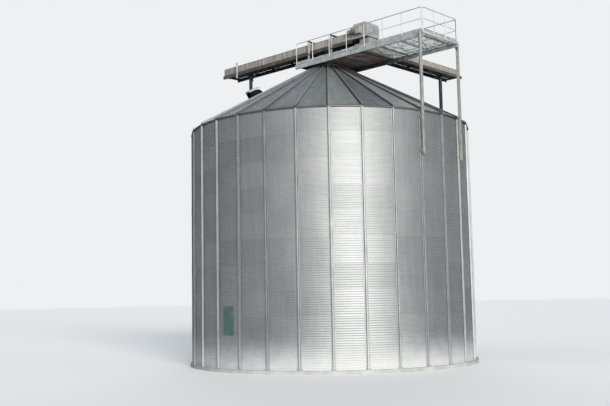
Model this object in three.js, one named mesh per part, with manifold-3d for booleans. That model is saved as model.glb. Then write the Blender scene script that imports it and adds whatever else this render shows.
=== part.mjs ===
// A corrugated steel grain silo on a round concrete slab, with a cone roof of thirty ribbed panels
// and the length of overhead conveyor gallery that its peak and its wall carry.
// Millimetres, +Z up. The origin is on the silo's axis, at the underside of the slab.
import * as THREE from 'three';
import { mergeVertices } from 'three/addons/utils/BufferGeometryUtils.js';
import Module from 'manifold-3d';

const wasm = await Module();
wasm.setup();

// Driving dimensions
const binDiameter = 13716;        // forty-five feet, to the middle of the corrugation
const corrugationDepth = 12.7;
const ringCount = 10;
const ringHeight = 1118;          // one wall sheet's cover
const bayCount = 30;              // stiffeners and roof ribs round the bin
const segmentCount = 5;           // wall and roof are each split into this many nodes
const wallThickness = 50;         // thicker than the real sheet
const slabHeight = 150;
const slabProjection = 26;        // beyond the stiffeners' foot plates
const gap = 0.3;                  // between pieces that touch
const weld = 2;                   // how far a welded bar is stepped from the face beside it

const roofPitch = THREE.MathUtils.degToRad(29);
const roofOverhang = 96;
const roofThickness = 45;         // measured straight down
const peakRadius = 850;
const roofRib = { width: 70, height: 75, sunk: 8, eaveSetback: 50, peakSetback: 140 };

const stiffener = { width: 180, mouth: 100, crown: 76, depth: 80, sheet: 6, topSetback: 34 };
const stiffenerFoot = { reach: 120, width: 220, thickness: 15 };

const collar = {
  drop: 110, skirtRadius: 960, sheet: 15, boreRadius: 790, ledge: 50, ledgeRise: 20, ledgePlay: 5,
};
const spout = { radius: 180, lidEdge: 20, lidRise: 45, deckHole: 200 };
const vent = {
  radius: 3800, length: 800, width: 480, height: 440, brow: 60, lip: 60, sheet: 30, flange: 36,
};
const plate = { width: 600, height: 1250, bottom: 1600, thickness: 25 };

const platform = {
  west: -950, east: 7000, underside: 14700, beamDepth: 200, flange: 70, sheet: 8,
  crossWidth: 60, crossDepth: 80, crossBay: 1200, deckThickness: 30,
};
const railing = {
  height: 1100, kneeHeight: 550, toeHeight: 120, toeSheet: 10, postSide: 40, postBay: 1250, passage: 50,
};
const eavePost = {
  side: 120, foot: 9350, spacing: 30, spacerHeight: 200, cleatReach: 150, cleatSheet: 20,
};
const gallery = {
  west: -7500, east: 2150, underside: 15580, channelDepth: 180, outerY: 550, flange: 60, sheet: 8,
  crossMembers: [-7460, -6300, -4400, -2900, -1500, 2110], legX: -5800, spliceX: -6300,
  portals: [-750, 800], portalSide: 80, portalTop: 16300,
};
const crossing = {
  x: 2700, south: -600, north: 7400, outerX: 500, channelDepth: 150, flange: 60, sheet: 8,
  crossMembers: [-560, 800, 2200, 3600, 4800, 7360], casingWidth: 700, casingHeight: 350,
};
const conveyor = {
  width: 900, height: 400, east: 3050, headWest: 2050, headHeight: 750, headSlope: 120, chuteSide: 600,
};
const drive = {
  x: 2600, height: 360, gearLength: 300, gearWidth: 260, gearHeight: 400,
  motorRadius: 120, motorLength: 520,
};
const leg = { side: 140, footReach: 160, footWidth: 260, footSheet: 20 };

// Sizes worked out from them
const bayAngle = (2 * Math.PI) / bayCount;
const segmentAngle = (2 * Math.PI) / segmentCount;
const facetsPerBay = 4;
const facetAngle = bayAngle / facetsPerBay;
const wallFace = binDiameter / 2 + corrugationDepth / 2;     // flat of the facet behind a stiffener
const wallCorner = wallFace / Math.cos(facetAngle / 2);
const wallTop = slabHeight + ringCount * ringHeight;
const stiffenerCrown = wallFace + gap + stiffener.depth;
const slabRadius = wallFace + stiffenerFoot.reach + slabProjection;
const roofEdge = wallFace + roofOverhang;
const ribSlope = Math.tan(roofPitch);
const panelSlope = ribSlope / Math.cos(bayAngle / 2);
const panelPitch = Math.atan(panelSlope);
const roofApex = wallTop + gap + roofThickness + wallCorner * panelSlope;
const platformTop = platform.underside + platform.beamDepth;
const deckTop = platformTop + gap + platform.deckThickness;
const collarTop = platformTop - platform.crossDepth - gap;
const postFace = stiffenerCrown + gap + eavePost.spacing;
const postCorner = (Math.cos(bayAngle) + Math.sin(bayAngle)) * eavePost.side / 2;
const platformOuterY = (postFace + eavePost.side / 2) * Math.sin(bayAngle) - postCorner - gap;

// Height of the roof sheet's top along a rib, and along the middle of a panel
const ribLine = (radius) => roofApex - radius * ribSlope;
const panelLine = (radius) => roofApex - radius * panelSlope;

// Materials
function finish(color, roughness, metalness) {
  return new THREE.MeshStandardMaterial({ color, roughness, metalness });
}
const galvanised = finish(0xa9adae, 0.42, 0.9);
const weatheredGalvanised = finish(0x8a8d8b, 0.55, 0.8);
const concrete = finish(0xb7b3aa, 0.9, 0.0);
const grating = finish(0x6f7170, 0.6, 0.8);
const greenPaint = finish(0x2f6b4a, 0.5, 0.0);
const greyPaint = finish(0x9aa3a2, 0.5, 0.1);

const silo = new THREE.Group();

function addPiece(name, geometry, material, angle = 0) {
  const mesh = new THREE.Mesh(geometry, material);
  mesh.name = name;
  mesh.rotation.z = angle;
  silo.add(mesh);
}

// Joining and cutting closed geometries
function toSolid(geometry) {
  const bare = geometry.clone();
  bare.deleteAttribute('normal');
  bare.deleteAttribute('uv');
  const merged = mergeVertices(bare, 1e-3);
  return new wasm.Manifold(new wasm.Mesh({
    numProp: 3,
    vertProperties: Float32Array.from(merged.attributes.position.array),
    triVerts: Uint32Array.from(merged.index.array),
  }));
}

function fromSolid(solid) {
  const mesh = solid.getMesh();
  const geometry = new THREE.BufferGeometry();
  geometry.setAttribute('position', new THREE.BufferAttribute(mesh.vertProperties, 3));
  geometry.setIndex(new THREE.BufferAttribute(mesh.triVerts, 1));
  geometry.computeVertexNormals();
  return geometry;
}

function join(geometries) {
  return fromSolid(geometries.map(toSolid).reduce((whole, piece) => whole.add(piece)));
}

function cut(geometry, tools) {
  return fromSolid(tools.map(toSolid).reduce((left, tool) => left.subtract(tool), toSolid(geometry)));
}

// Shapes that the pieces are made of
function polar(radius, angle) {
  return [radius * Math.cos(angle), radius * Math.sin(angle)];
}

function outline(points) {
  return new THREE.Shape(points.map(([x, y]) => new THREE.Vector2(x, y)));
}

function upright(points, bottom, top) {
  const geometry = new THREE.ExtrudeGeometry(outline(points), { depth: top - bottom, bevelEnabled: false });
  return geometry.translate(0, 0, bottom);
}

function block(x0, x1, y0, y1, z0, z1) {
  const geometry = new THREE.BoxGeometry(x1 - x0, y1 - y0, z1 - z0);
  return geometry.translate((x0 + x1) / 2, (y0 + y1) / 2, (z0 + z1) / 2);
}

// An outline of (x, z) points, as thick along y as it is wide
function sideCut(points, width) {
  const geometry = new THREE.ExtrudeGeometry(outline(points), { depth: width, bevelEnabled: false });
  return geometry.rotateX(Math.PI / 2).translate(0, width / 2, 0);
}

// A (radius, height) profile turned about the axis, with its corners under the roof's ribs
function turned(profile) {
  const onAxis = profile[0][0] === 0;
  const closed = onAxis ? profile : [...profile, profile[0]];
  const points = closed.map(([radius, height]) => new THREE.Vector2(radius, height));
  return new THREE.LatheGeometry(points, bayCount, Math.PI / 2, 2 * Math.PI).rotateX(Math.PI / 2);
}

// A channel along x: its web is on the outer side, its flanges turn in towards y = 0
function channel(x0, x1, outerY, side, bottom, depth, flange, sheet) {
  const section = [
    [0, 0], [flange, 0], [flange, sheet], [sheet, sheet],
    [sheet, depth - sheet], [flange, depth - sheet], [flange, depth], [0, depth],
  ];
  const geometry = new THREE.ExtrudeGeometry(outline(section), { depth: x1 - x0, bevelEnabled: false });
  geometry.rotateX(Math.PI / 2).rotateZ(Math.PI / 2);
  if (side < 0) {
    return geometry.translate(x0, outerY * side, bottom);
  }
  return geometry.rotateZ(Math.PI).translate(x1, outerY * side, bottom);
}

// Foundation slab
const slab = new THREE.CylinderGeometry(slabRadius, slabRadius, slabHeight, 4 * bayCount);
addPiece('foundation_slab', slab.rotateX(Math.PI / 2).translate(0, 0, slabHeight / 2), concrete);

// Wall: each segment ends behind a stiffener, in the middle of a facet
function wallSegment() {
  const seam = gap / 2 / wallFace;
  const facetCount = Math.round(segmentAngle / facetAngle);
  const outer = [polar(wallFace, seam)];
  const inner = [polar(wallFace - wallThickness, seam)];
  const innerCorner = (wallFace - wallThickness) / Math.cos(facetAngle / 2);
  for (let i = 0; i < facetCount; i += 1) {
    const angle = (i + 0.5) * facetAngle;
    outer.push(polar(wallCorner, angle));
    inner.push(polar(innerCorner, angle));
  }
  outer.push(polar(wallFace, segmentAngle - seam));
  inner.push(polar(wallFace - wallThickness, segmentAngle - seam));
  return upright([...outer, ...inner.reverse()], slabHeight + gap, wallTop);
}

const wall = wallSegment();
for (let i = 0; i < segmentCount; i += 1) {
  addPiece(`wall_segment_${i + 1}`, wall, galvanised, i * segmentAngle);
}

// Stiffeners: a hat section, flanges on the wall, with a foot plate on the slab
function stiffenerPost() {
  const back = wallFace + gap;
  const front = back + stiffener.depth;
  const flange = back + stiffener.sheet;
  const edge = stiffener.width / 2;
  const mouth = stiffener.mouth / 2;
  const crown = stiffener.crown / 2;
  const section = [
    [back, -edge], [flange, -edge], [flange, -mouth], [front, -crown],
    [front, crown], [flange, mouth], [flange, edge], [back, edge],
    [back, mouth - stiffener.sheet], [front - stiffener.sheet, crown - stiffener.sheet],
    [front - stiffener.sheet, stiffener.sheet - crown], [back, stiffener.sheet - mouth],
  ];
  const bottom = slabHeight + gap;
  const foot = stiffenerFoot.width / 2;
  return join([
    upright(section, bottom, wallTop - stiffener.topSetback),
    block(back, back + stiffenerFoot.reach, -foot, foot, bottom, bottom + stiffenerFoot.thickness),
  ]);
}

const post = stiffenerPost();
for (let i = 0; i < bayCount; i += 1) {
  addPiece(`stiffener_${String(i + 1).padStart(2, '0')}`, post, galvanised, i * bayAngle);
}

// Roof: flat panels between raised ribs. A sector ends in the middle of a panel at either side.
// A panel is drawn in plan, then leant by moving its points down with their distance from the axis.
function roofPanel(middle, reachesFirstRib, reachesNextRib) {
  const lap = 1;
  const seam = gap / 2;
  const out = (radius) => radius * Math.cos(bayAngle / 2);
  const toRib = (radius) => radius * Math.sin(bayAngle / 2) + lap;
  const first = (radius) => (reachesFirstRib ? -toRib(radius) : seam);
  const next = (radius) => (reachesNextRib ? toRib(radius) : -seam);
  const plan = [
    [out(peakRadius), first(peakRadius)], [out(roofEdge), first(roofEdge)],
    [out(roofEdge), next(roofEdge)], [out(peakRadius), next(peakRadius)],
  ];
  const lean = new THREE.Matrix4().set(
    1, 0, 0, 0,
    0, 1, 0, 0,
    -panelSlope, 0, 1, 0,
    0, 0, 0, 1,
  );
  return upright(plan, roofApex - roofThickness, roofApex).applyMatrix4(lean).rotateZ(middle);
}

function roofRibBar(angle) {
  const inner = peakRadius + roofRib.peakSetback;
  const outer = roofEdge - roofRib.eaveSetback;
  const middle = (outer + inner) / 2;
  const length = (outer - inner) / Math.cos(roofPitch);
  const bar = new THREE.BoxGeometry(length, roofRib.width, roofRib.height + roofRib.sunk);
  bar.translate(0, 0, (roofRib.height - roofRib.sunk) / 2).rotateY(roofPitch);
  return bar.translate(middle, 0, ribLine(middle)).rotateZ(angle);
}

function roofSector() {
  const ribs = bayCount / segmentCount;
  const pieces = [];
  for (let i = 0; i <= ribs; i += 1) {
    pieces.push(roofPanel((i - 0.5) * bayAngle, i > 0, i < ribs));
  }
  for (let i = 0; i < ribs; i += 1) {
    pieces.push(roofRibBar(i * bayAngle));
  }
  return join(pieces);
}

const sector = roofSector();
for (let i = 0; i < segmentCount; i += 1) {
  addPiece(`roof_sector_${i + 1}`, sector, weatheredGalvanised, i * segmentAngle);
}

// Peak collar: a ring in the roof's top hole, with a skirt over the panels and a ledge for the lid
const collarRadius = peakRadius - gap / Math.cos(bayAngle / 2);
const skirtLift = gap / Math.cos(roofPitch);
const ledgeTop = ribLine(collarRadius) + collar.ledgeRise;
addPiece('roof_collar', turned([
  [collarRadius, ribLine(collarRadius) - collar.drop],
  [collarRadius, ribLine(collarRadius) + skirtLift],
  [collar.skirtRadius, ribLine(collar.skirtRadius) + skirtLift],
  [collar.skirtRadius, ribLine(collar.skirtRadius) + skirtLift + collar.sheet],
  [collarRadius, ribLine(collarRadius) + skirtLift + collar.sheet],
  [collarRadius, collarTop],
  [collar.boreRadius, collarTop],
  [collar.boreRadius, ledgeTop],
  [collar.boreRadius - collar.ledge, ledgeTop],
  [collar.boreRadius - collar.ledge, ledgeTop - collar.sheet],
  [collar.boreRadius, ledgeTop - collar.sheet],
  [collar.boreRadius, ribLine(collarRadius) - collar.drop],
]), weatheredGalvanised);

// Filling spout: the lid that lies on the ledge, and the round pipe up to the conveyor
const casingBottom = gallery.underside + gallery.channelDepth + weld + gap;
const lidBottom = ledgeTop + gap;
addPiece('filling_spout', turned([
  [0, lidBottom],
  [collar.boreRadius - collar.ledgePlay, lidBottom],
  [collar.boreRadius - collar.ledgePlay, lidBottom + spout.lidEdge],
  [spout.radius, lidBottom + spout.lidRise],
  [spout.radius, casingBottom - gap],
  [0, casingBottom - gap],
]), galvanised);

// Roof vents: a bent sheet hood on a flange, its mouth down the slope
function roofVent() {
  const half = vent.length / 2;
  const side = vent.width / 2;
  const hood = new THREE.Shape();
  hood.moveTo(-half, 0);
  hood.absellipse(0, 0, half, vent.height, Math.PI, Math.PI / 2, true);
  hood.lineTo(half, vent.height - vent.brow);
  hood.lineTo(half, vent.lip);
  hood.lineTo(half - vent.lip, 0);
  const body = new THREE.ExtrudeGeometry(hood, {
    depth: vent.width, bevelEnabled: false, curveSegments: 8,
  });
  body.rotateX(Math.PI / 2).translate(0, side, 0);
  const sheet = vent.sheet;
  const mouth = block(
    -half / 2, half + sheet, sheet - side, side - sheet, vent.lip, vent.height - vent.brow - sheet,
  );
  const flange = vent.flange;
  const base = block(-half - flange, half + flange, -side - flange, side + flange, 0, sheet / 2);
  const whole = join([cut(body, [mouth]), base]);
  const lift = gap / Math.cos(panelPitch);
  return whole.rotateY(panelPitch).translate(vent.radius, 0, panelLine(vent.radius) + lift);
}

const ventHood = roofVent();
addPiece('roof_vent_west', ventHood, galvanised, -9.5 * bayAngle);
addPiece('roof_vent_east', ventHood, galvanised, 4.5 * bayAngle);

// Green plate, flat on the wall in the middle of a bay
addPiece('green_plate', block(
  wallFace + gap, wallFace + gap + plate.thickness,
  -plate.width / 2, plate.width / 2, plate.bottom, plate.bottom + plate.height,
), greenPaint, -7.5 * bayAngle);

// Eave posts: each stands off its stiffener on two spacers and carries the platform on a cleat
function eavePostBar(inward) {
  const half = eavePost.side / 2;
  const seat = platform.underside - gap;
  const spacer = (bottom) => block(
    stiffenerCrown + gap, postFace + gap, -stiffener.crown / 2, stiffener.crown / 2,
    bottom, bottom + eavePost.spacerHeight,
  );
  const cleat = block(
    postFace, postFace + eavePost.side,
    Math.min(0, inward * (half + eavePost.cleatReach)), Math.max(0, inward * (half + eavePost.cleatReach)),
    seat - eavePost.cleatSheet, seat,
  );
  return join([
    block(postFace, postFace + eavePost.side, -half, half, eavePost.foot, platformTop),
    spacer(eavePost.foot + eavePost.spacerHeight / 2),
    spacer(wallTop - 2 * eavePost.spacerHeight),
    cleat,
  ]);
}

addPiece('eave_post_south', eavePostBar(1), galvanised, -bayAngle);
addPiece('eave_post_north', eavePostBar(-1), galvanised, bayAngle);

// Platform frame: two channels with cross beams, on the collar at the peak and on the eave posts
function platformFrame() {
  const { west, east, underside, beamDepth, flange, sheet, crossWidth, crossDepth, crossBay } = platform;
  const pieces = [-1, 1].map((side) => channel(
    west, east, platformOuterY, side, underside, beamDepth, flange, sheet,
  ));
  const inside = platformOuterY - sheet / 2;
  const places = [west + crossWidth / 2 + weld, east - crossWidth / 2 - weld];
  for (let x = -crossBay / 2; x < east - crossWidth; x += crossBay) {
    places.push(x);
  }
  places.forEach((x) => pieces.push(block(
    x - crossWidth / 2, x + crossWidth / 2, -inside, inside, platformTop - crossDepth, platformTop - weld,
  )));
  return join(pieces);
}

addPiece('platform_frame', platformFrame(), galvanised);

const deckHole = new THREE.CylinderGeometry(spout.deckHole, spout.deckHole, 200, bayCount);
addPiece('platform_deck', cut(
  block(platform.west, platform.east, -platformOuterY, platformOuterY, platformTop + gap, deckTop),
  [deckHole.rotateX(Math.PI / 2).translate(0, 0, deckTop)],
), grating);

// A straight handrail along x, from 0 to its length: posts, two rails and a toe board
function handrail(length) {
  const { postSide, height, kneeHeight, toeHeight, toeSheet, postBay } = railing;
  const half = postSide / 2;
  const bottom = deckTop + gap;
  const bays = Math.ceil(length / postBay);
  const bar = (width, from, to) => block(weld, length - weld, -width / 2, width / 2, from, to);
  const pieces = [
    bar(postSide + weld, bottom + height - postSide, bottom + height),
    bar(half, bottom + kneeHeight, bottom + kneeHeight + half),
    bar(toeSheet, bottom + weld, bottom + toeHeight),
  ];
  for (let i = 0; i <= bays; i += 1) {
    const x = half + (i / bays) * (length - postSide);
    pieces.push(block(x - half, x + half, -half, half, bottom, bottom + height - weld));
  }
  return join(pieces);
}

const railY = platformOuterY - railing.postSide;
const eastRailX = platform.east - railing.postSide;
const sideRailEnd = eastRailX - (railing.postSide + weld) / 2 - gap;
const sideRailStart = platform.west + railing.postSide;
const crossWest = crossing.x - crossing.outerX - railing.passage;
const crossEast = crossing.x + crossing.outerX + railing.passage;
const rails = {
  platform_rail_south: handrail(sideRailEnd - sideRailStart).translate(sideRailStart, -railY, 0),
  platform_rail_northwest: handrail(crossWest - sideRailStart).translate(sideRailStart, railY, 0),
  platform_rail_northeast: handrail(sideRailEnd - crossEast).translate(crossEast, railY, 0),
  platform_rail_east: handrail(2 * railY).rotateZ(Math.PI / 2).translate(eastRailX, -railY, 0),
};
Object.entries(rails).forEach(([name, rail]) => addPiece(name, rail, galvanised));

// A leg from the roof up to a gallery: its foot plate follows the slope of what it stands on
function galleryLeg(radius, surface, top, angle) {
  const { side, footReach, footWidth, footSheet } = leg;
  const low = (distance) => surface(radius + distance) + skirtLift;
  const half = side / 2;
  const bar = [
    [radius - half, low(-half)], [radius + half, low(half)], [radius + half, top], [radius - half, top],
  ];
  const foot = [
    [radius - footReach, low(-footReach)], [radius + footReach, low(footReach)],
    [radius + footReach, low(footReach) + footSheet], [radius - footReach, low(-footReach) + footSheet],
  ];
  return join([sideCut(bar, side), sideCut(foot, footWidth)]).rotateZ(angle);
}

// Main gallery frame: two channels, with cross members level with their tops that carry the casing,
// two portals on the deck, and one leg on the roof
function mainGalleryFrame() {
  const { west, east, underside, channelDepth, outerY, flange, sheet, portalSide, portalTop } = gallery;
  const pieces = [-1, 1].map((side) => channel(
    west, east, outerY, side, underside, channelDepth, flange, sheet,
  ));
  const crossMember = (x, width, bottom) => block(
    x - width / 2, x + width / 2, -outerY + sheet / 2, outerY - sheet / 2, bottom, bottom + flange,
  );
  const bearerBottom = underside + channelDepth + weld - flange;
  gallery.crossMembers.forEach((x) => pieces.push(crossMember(x, flange, bearerBottom)));
  pieces.push(crossMember(gallery.legX, leg.side, underside + weld));
  const half = portalSide / 2;
  const sidePost = (x, side, bottom, top) => {
    const faces = [side * (outerY - sheet / 2), side * (outerY + portalSide)];
    return block(x - half, x + half, Math.min(...faces), Math.max(...faces), bottom, top);
  };
  gallery.portals.forEach((x) => {
    const reach = outerY + portalSide;
    const bar = (bottom) => block(x - half, x + half, -reach, reach, bottom, bottom + portalSide);
    pieces.push(bar(underside - half), bar(portalTop - portalSide));
    [-1, 1].forEach((side) => pieces.push(sidePost(x, side, deckTop + gap, portalTop)));
  });
  [-1, 1].forEach((side) => pieces.push(
    sidePost(gallery.spliceX, side, underside - 2 * portalSide, underside + 4 * channelDepth),
  ));
  const ribTop = (radius) => ribLine(radius) + roofRib.height / Math.cos(roofPitch);
  pieces.push(galleryLeg(-gallery.legX, ribTop, underside + sheet, Math.PI));
  return join(pieces);
}

addPiece('main_gallery_frame', mainGalleryFrame(), galvanised);

// Cross gallery: a channel frame that lies on the deck and stands on a leg near the eave
const crossUnderside = deckTop + gap;
const crossCasingBottom = crossUnderside + crossing.channelDepth + weld + gap;
const crossCasingTop = crossCasingBottom + crossing.casingHeight;

function crossGalleryFrame() {
  const { south, north, outerX, channelDepth, flange, sheet, x } = crossing;
  const pieces = [-1, 1].map((side) => channel(
    south, north, outerX, side, crossUnderside, channelDepth, flange, sheet,
  ));
  const bearerTop = crossUnderside + channelDepth + weld;
  crossing.crossMembers.forEach((y) => pieces.push(block(
    y - flange / 2, y + flange / 2, -outerX + sheet / 2, outerX - sheet / 2,
    bearerTop - flange, bearerTop,
  )));
  const frame = pieces.map((piece) => piece.rotateZ(Math.PI / 2).translate(x, 0, 0));
  const legAngle = 5.5 * bayAngle;
  const legRadius = x / Math.cos(legAngle);
  frame.push(galleryLeg(legRadius, panelLine, crossUnderside + flange / 2, legAngle));
  frame.push(block(
    x - outerX + sheet / 2, x + outerX - sheet / 2,
    legRadius * Math.sin(legAngle) - leg.side, legRadius * Math.sin(legAngle) + leg.side,
    crossUnderside + weld, crossUnderside + flange,
  ));
  return join(frame);
}

addPiece('cross_gallery_frame', crossGalleryFrame(), galvanised);
addPiece('cross_conveyor', block(
  crossing.x - crossing.casingWidth / 2, crossing.x + crossing.casingWidth / 2,
  crossing.south, crossing.north, crossCasingBottom, crossCasingTop,
), greyPaint);

// Main conveyor: a closed casing with a taller head, and a chute down on to the cross conveyor
function mainConveyor() {
  const top = casingBottom + conveyor.height;
  const headTop = casingBottom + conveyor.headHeight;
  const side = [
    [gallery.west, casingBottom], [conveyor.east, casingBottom],
    [conveyor.east, headTop - conveyor.headSlope], [conveyor.east - conveyor.headSlope, headTop],
    [conveyor.headWest + conveyor.headSlope, headTop], [conveyor.headWest, top], [gallery.west, top],
  ];
  const half = conveyor.chuteSide / 2;
  return join([
    sideCut(side, conveyor.width),
    block(
      crossing.x - half, crossing.x + half, -half, half, crossCasingTop + gap, casingBottom + gap,
    ),
  ]);
}

addPiece('main_conveyor', mainConveyor(), greyPaint);

// Drive unit: gearbox flat on the side of the head, with its motor along the conveyor
function driveUnit() {
  const { gearLength, gearWidth, gearHeight, motorRadius, motorLength, x, height } = drive;
  const face = -conveyor.width / 2 - gap;
  const centre = casingBottom + height;
  const motor = new THREE.CylinderGeometry(motorRadius, motorRadius, motorLength, 24);
  const motorMiddle = x - gearLength / 2 - motorLength / 2 + gap;
  motor.rotateZ(Math.PI / 2).translate(motorMiddle, face - gearWidth / 2, centre);
  return join([
    block(
      x - gearLength / 2, x + gearLength / 2, face - gearWidth, face,
      centre - gearHeight / 2, centre + gearHeight / 2,
    ),
    motor,
  ]);
}

addPiece('drive_unit', driveUnit(), greyPaint);

export default silo;
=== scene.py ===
from math import atan, ceil, cos, pi, radians, sin, tan

import bmesh
import bpy
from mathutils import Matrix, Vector


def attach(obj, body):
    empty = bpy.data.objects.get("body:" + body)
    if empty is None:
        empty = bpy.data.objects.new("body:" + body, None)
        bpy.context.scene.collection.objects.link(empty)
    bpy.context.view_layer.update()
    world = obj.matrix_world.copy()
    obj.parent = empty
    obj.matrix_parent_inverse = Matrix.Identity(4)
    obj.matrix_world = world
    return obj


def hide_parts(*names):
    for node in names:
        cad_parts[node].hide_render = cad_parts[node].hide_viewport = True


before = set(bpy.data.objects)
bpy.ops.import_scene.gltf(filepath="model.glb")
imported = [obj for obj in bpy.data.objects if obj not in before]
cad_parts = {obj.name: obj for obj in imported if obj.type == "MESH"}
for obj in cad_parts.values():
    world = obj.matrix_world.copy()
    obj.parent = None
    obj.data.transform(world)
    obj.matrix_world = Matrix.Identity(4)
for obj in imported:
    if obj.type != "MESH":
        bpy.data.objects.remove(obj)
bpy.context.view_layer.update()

# Studio: a wide pale floor, a sky that looks even and pale but lights dimly, more from above, and
# soft lamps, the strongest of them to the right of the camera. The camera stands three metres
# above the floor, forty-three metres from the silo's axis.
def edit_mode():
    bpy.ops.object.mode_set(mode="EDIT")


def object_mode():
    bpy.ops.object.mode_set(mode="OBJECT")


def deselect():
    if bpy.context.object and bpy.context.object.mode != "OBJECT":
        object_mode()
    bpy.ops.object.select_all(action="DESELECT")


def linear(hex_colour):
    """An sRGB hex colour, such as #8A8D8B, as the linear values that the shaders take."""
    channels = []
    for place in (1, 3, 5):
        value = int(hex_colour[place:place + 2], 16) / 255
        channels.append(value / 12.92 if value <= 0.04045 else ((value + 0.055) / 1.055) ** 2.4)
    return (*channels, 1.0)


def add_node(tree, kind, settings, inputs, stops=()):
    """Adds a node. Its inputs take plain values, or the outputs of other nodes; stops are a colour
    ramp's hex colours, each with its place from 0 to 1."""
    made = tree.nodes.new(kind)
    for name, value in settings.items():
        setattr(made, name, value)
    for socket, value in inputs.items():
        if isinstance(value, bpy.types.NodeSocket):
            tree.links.new(value, made.inputs[socket])
        else:
            made.inputs[socket].default_value = value
    for _ in stops[2:]:
        made.color_ramp.elements.new(0.5)
    for number, (place, colour) in enumerate(stops):
        made.color_ramp.elements[number].position = place
        made.color_ramp.elements[number].color = linear(colour)
    return made


def new_material(name):
    """A material with its shader, ready for the nodes of its pattern."""
    made = bpy.data.materials.new(name)
    made.use_nodes = True
    return made, made.node_tree, made.node_tree.nodes["Principled BSDF"]


floor_radius = 400.0
deselect()
bpy.ops.mesh.primitive_circle_add(vertices=96, radius=floor_radius, fill_type="NGON")
floor = bpy.context.object
floor.name = "studio_floor"
floor_paint, tree, shader = new_material("studio_floor_paint")
shader.inputs["Base Color"].default_value = linear("#F2F3F1")
shader.inputs["Roughness"].default_value = 0.9
floor.data.materials.append(floor_paint)

scene = bpy.context.scene
scene.view_settings.view_transform = "Standard"
scene.world = bpy.data.worlds.new("studio_sky")
scene.world.use_nodes = True
tree = scene.world.node_tree
direction = add_node(tree, "ShaderNodeTexCoord", {}, {}).outputs["Generated"]
height = add_node(tree, "ShaderNodeSeparateXYZ", {}, {"Vector": direction}).outputs["Z"]
lift = add_node(tree, "ShaderNodeMapRange", {}, {"Value": height, "From Min": -0.3, "From Max": 1.0})
soft_sky = add_node(tree, "ShaderNodeValToRGB", {}, {"Fac": lift.outputs["Result"]}, (
    (0.0, "#6C7074"), (0.23, "#777F87"), (0.5, "#7B8793"), (1.0, "#B4BBC3"),
)).outputs["Color"]
seen = add_node(tree, "ShaderNodeLightPath", {}, {}).outputs["Is Camera Ray"]
sky = add_node(tree, "ShaderNodeMix", {"data_type": "RGBA"}, {
    "Factor": seen, 6: soft_sky, 7: linear("#EEF0F1"),
})
tree.links.new(sky.outputs[2], tree.nodes["Background"].inputs["Color"])
tree.nodes["Background"].inputs["Strength"].default_value = 1.0

# Each lamp: its compass angle and height in degrees, its strength, how wide it looks, its colour
lamps = {
    "key_light": (59.6, 9.5, 6.5, 26.0, "#FFF8F2"),
    "fill_light": (-20.0, 32.0, 0.3, 60.0, "#F4F8FF"),
    "back_light": (222.0, 28.0, 0.8, 40.0, "#FFFFFF"),
}
for name, (azimuth, elevation, strength, width, colour) in lamps.items():
    deselect()
    bpy.ops.object.light_add(type="SUN", location=(0, 0, 40), rotation=(
        radians(90 - elevation), 0, radians(azimuth),
    ))
    lamp = bpy.context.object
    lamp.name = name
    lamp.data.energy = strength
    lamp.data.angle = radians(width)
    lamp.data.color = linear(colour)[:3]

camera_azimuth, camera_distance, eye_height = radians(42.05), 43.09, 3.19
deselect()
bpy.ops.object.camera_add(
    location=(
        camera_distance * sin(camera_azimuth), -camera_distance * cos(camera_azimuth), eye_height,
    ),
    rotation=(radians(96.258), radians(1.065), camera_azimuth + radians(1.833)),
)
camera = bpy.context.object
camera.data.lens = 50.81
camera.data.sensor_width = 36.0
camera.data.clip_end = 1000.0
scene.camera = camera

# Foundation slab: a round concrete pad, cast in a steel ring form. Its top edge is rounded with an
# edging tool, and its top is blotched and sandy. Pieces that touch are a seat gap apart.
slab_top, slab_radius, slab_rounding = 0.15, 7.01035, 0.012
seat_gap = 0.0003


def pick(kind, rule):
    """Selects, in the mesh in edit mode, what the rule says from its middle and its normal."""
    bpy.ops.mesh.select_mode(type=kind)
    bpy.ops.mesh.select_all(action="DESELECT")
    shape = bmesh.from_edit_mesh(bpy.context.object.data)
    if kind == "VERT":
        for corner in shape.verts:
            corner.select_set(bool(rule(corner.co, corner.normal)))
    elif kind == "EDGE":
        for edge in shape.edges:
            first, last = edge.verts
            edge.select_set(bool(rule((first.co + last.co) / 2, (last.co - first.co).normalized())))
    else:
        for face in shape.faces:
            face.select_set(bool(rule(face.calc_center_median(), face.normal)))
    shape.select_flush_mode()
    bmesh.update_edit_mesh(bpy.context.object.data)


def pick_all():
    bpy.ops.mesh.select_all(action="SELECT")


def draw_out(run):
    """Extrudes what is selected, along this run."""
    bpy.ops.mesh.extrude_region_move(TRANSFORM_OT_translate={"value": run})


def activate(piece):
    deselect()
    piece.select_set(True)
    bpy.context.view_layer.objects.active = piece


def settle(piece):
    """Moves the object's place into its mesh, so that the object is at the origin."""
    activate(piece)
    bpy.ops.object.transform_apply(location=True, rotation=True, scale=True)
    return piece


def cylinder(sides, radius, depth, middle, turn=(0, 0, 0)):
    deselect()
    bpy.ops.mesh.primitive_cylinder_add(
        vertices=sides, radius=radius, depth=depth, location=middle, rotation=turn,
    )
    return settle(bpy.context.object)


def modify(piece, kind, **settings):
    """Adds a modifier and applies it."""
    activate(piece)
    modifier = piece.modifiers.new(kind.title(), kind)
    for name, value in settings.items():
        setattr(modifier, name, value)
    bpy.ops.object.modifier_apply(modifier=modifier.name)
    return piece


def round_edges(piece, width, segments=1, sharper_than=40):
    return modify(
        piece, "BEVEL", width=width, segments=segments, limit_method="ANGLE",
        angle_limit=radians(sharper_than),
    )


def join_up(parts):
    """Joins several shapes into the first of them."""
    deselect()
    for part in parts:
        part.select_set(True)
    bpy.context.view_layer.objects.active = parts[0]
    if len(parts) > 1:
        bpy.ops.object.join()
    return settle(bpy.context.object)


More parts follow.
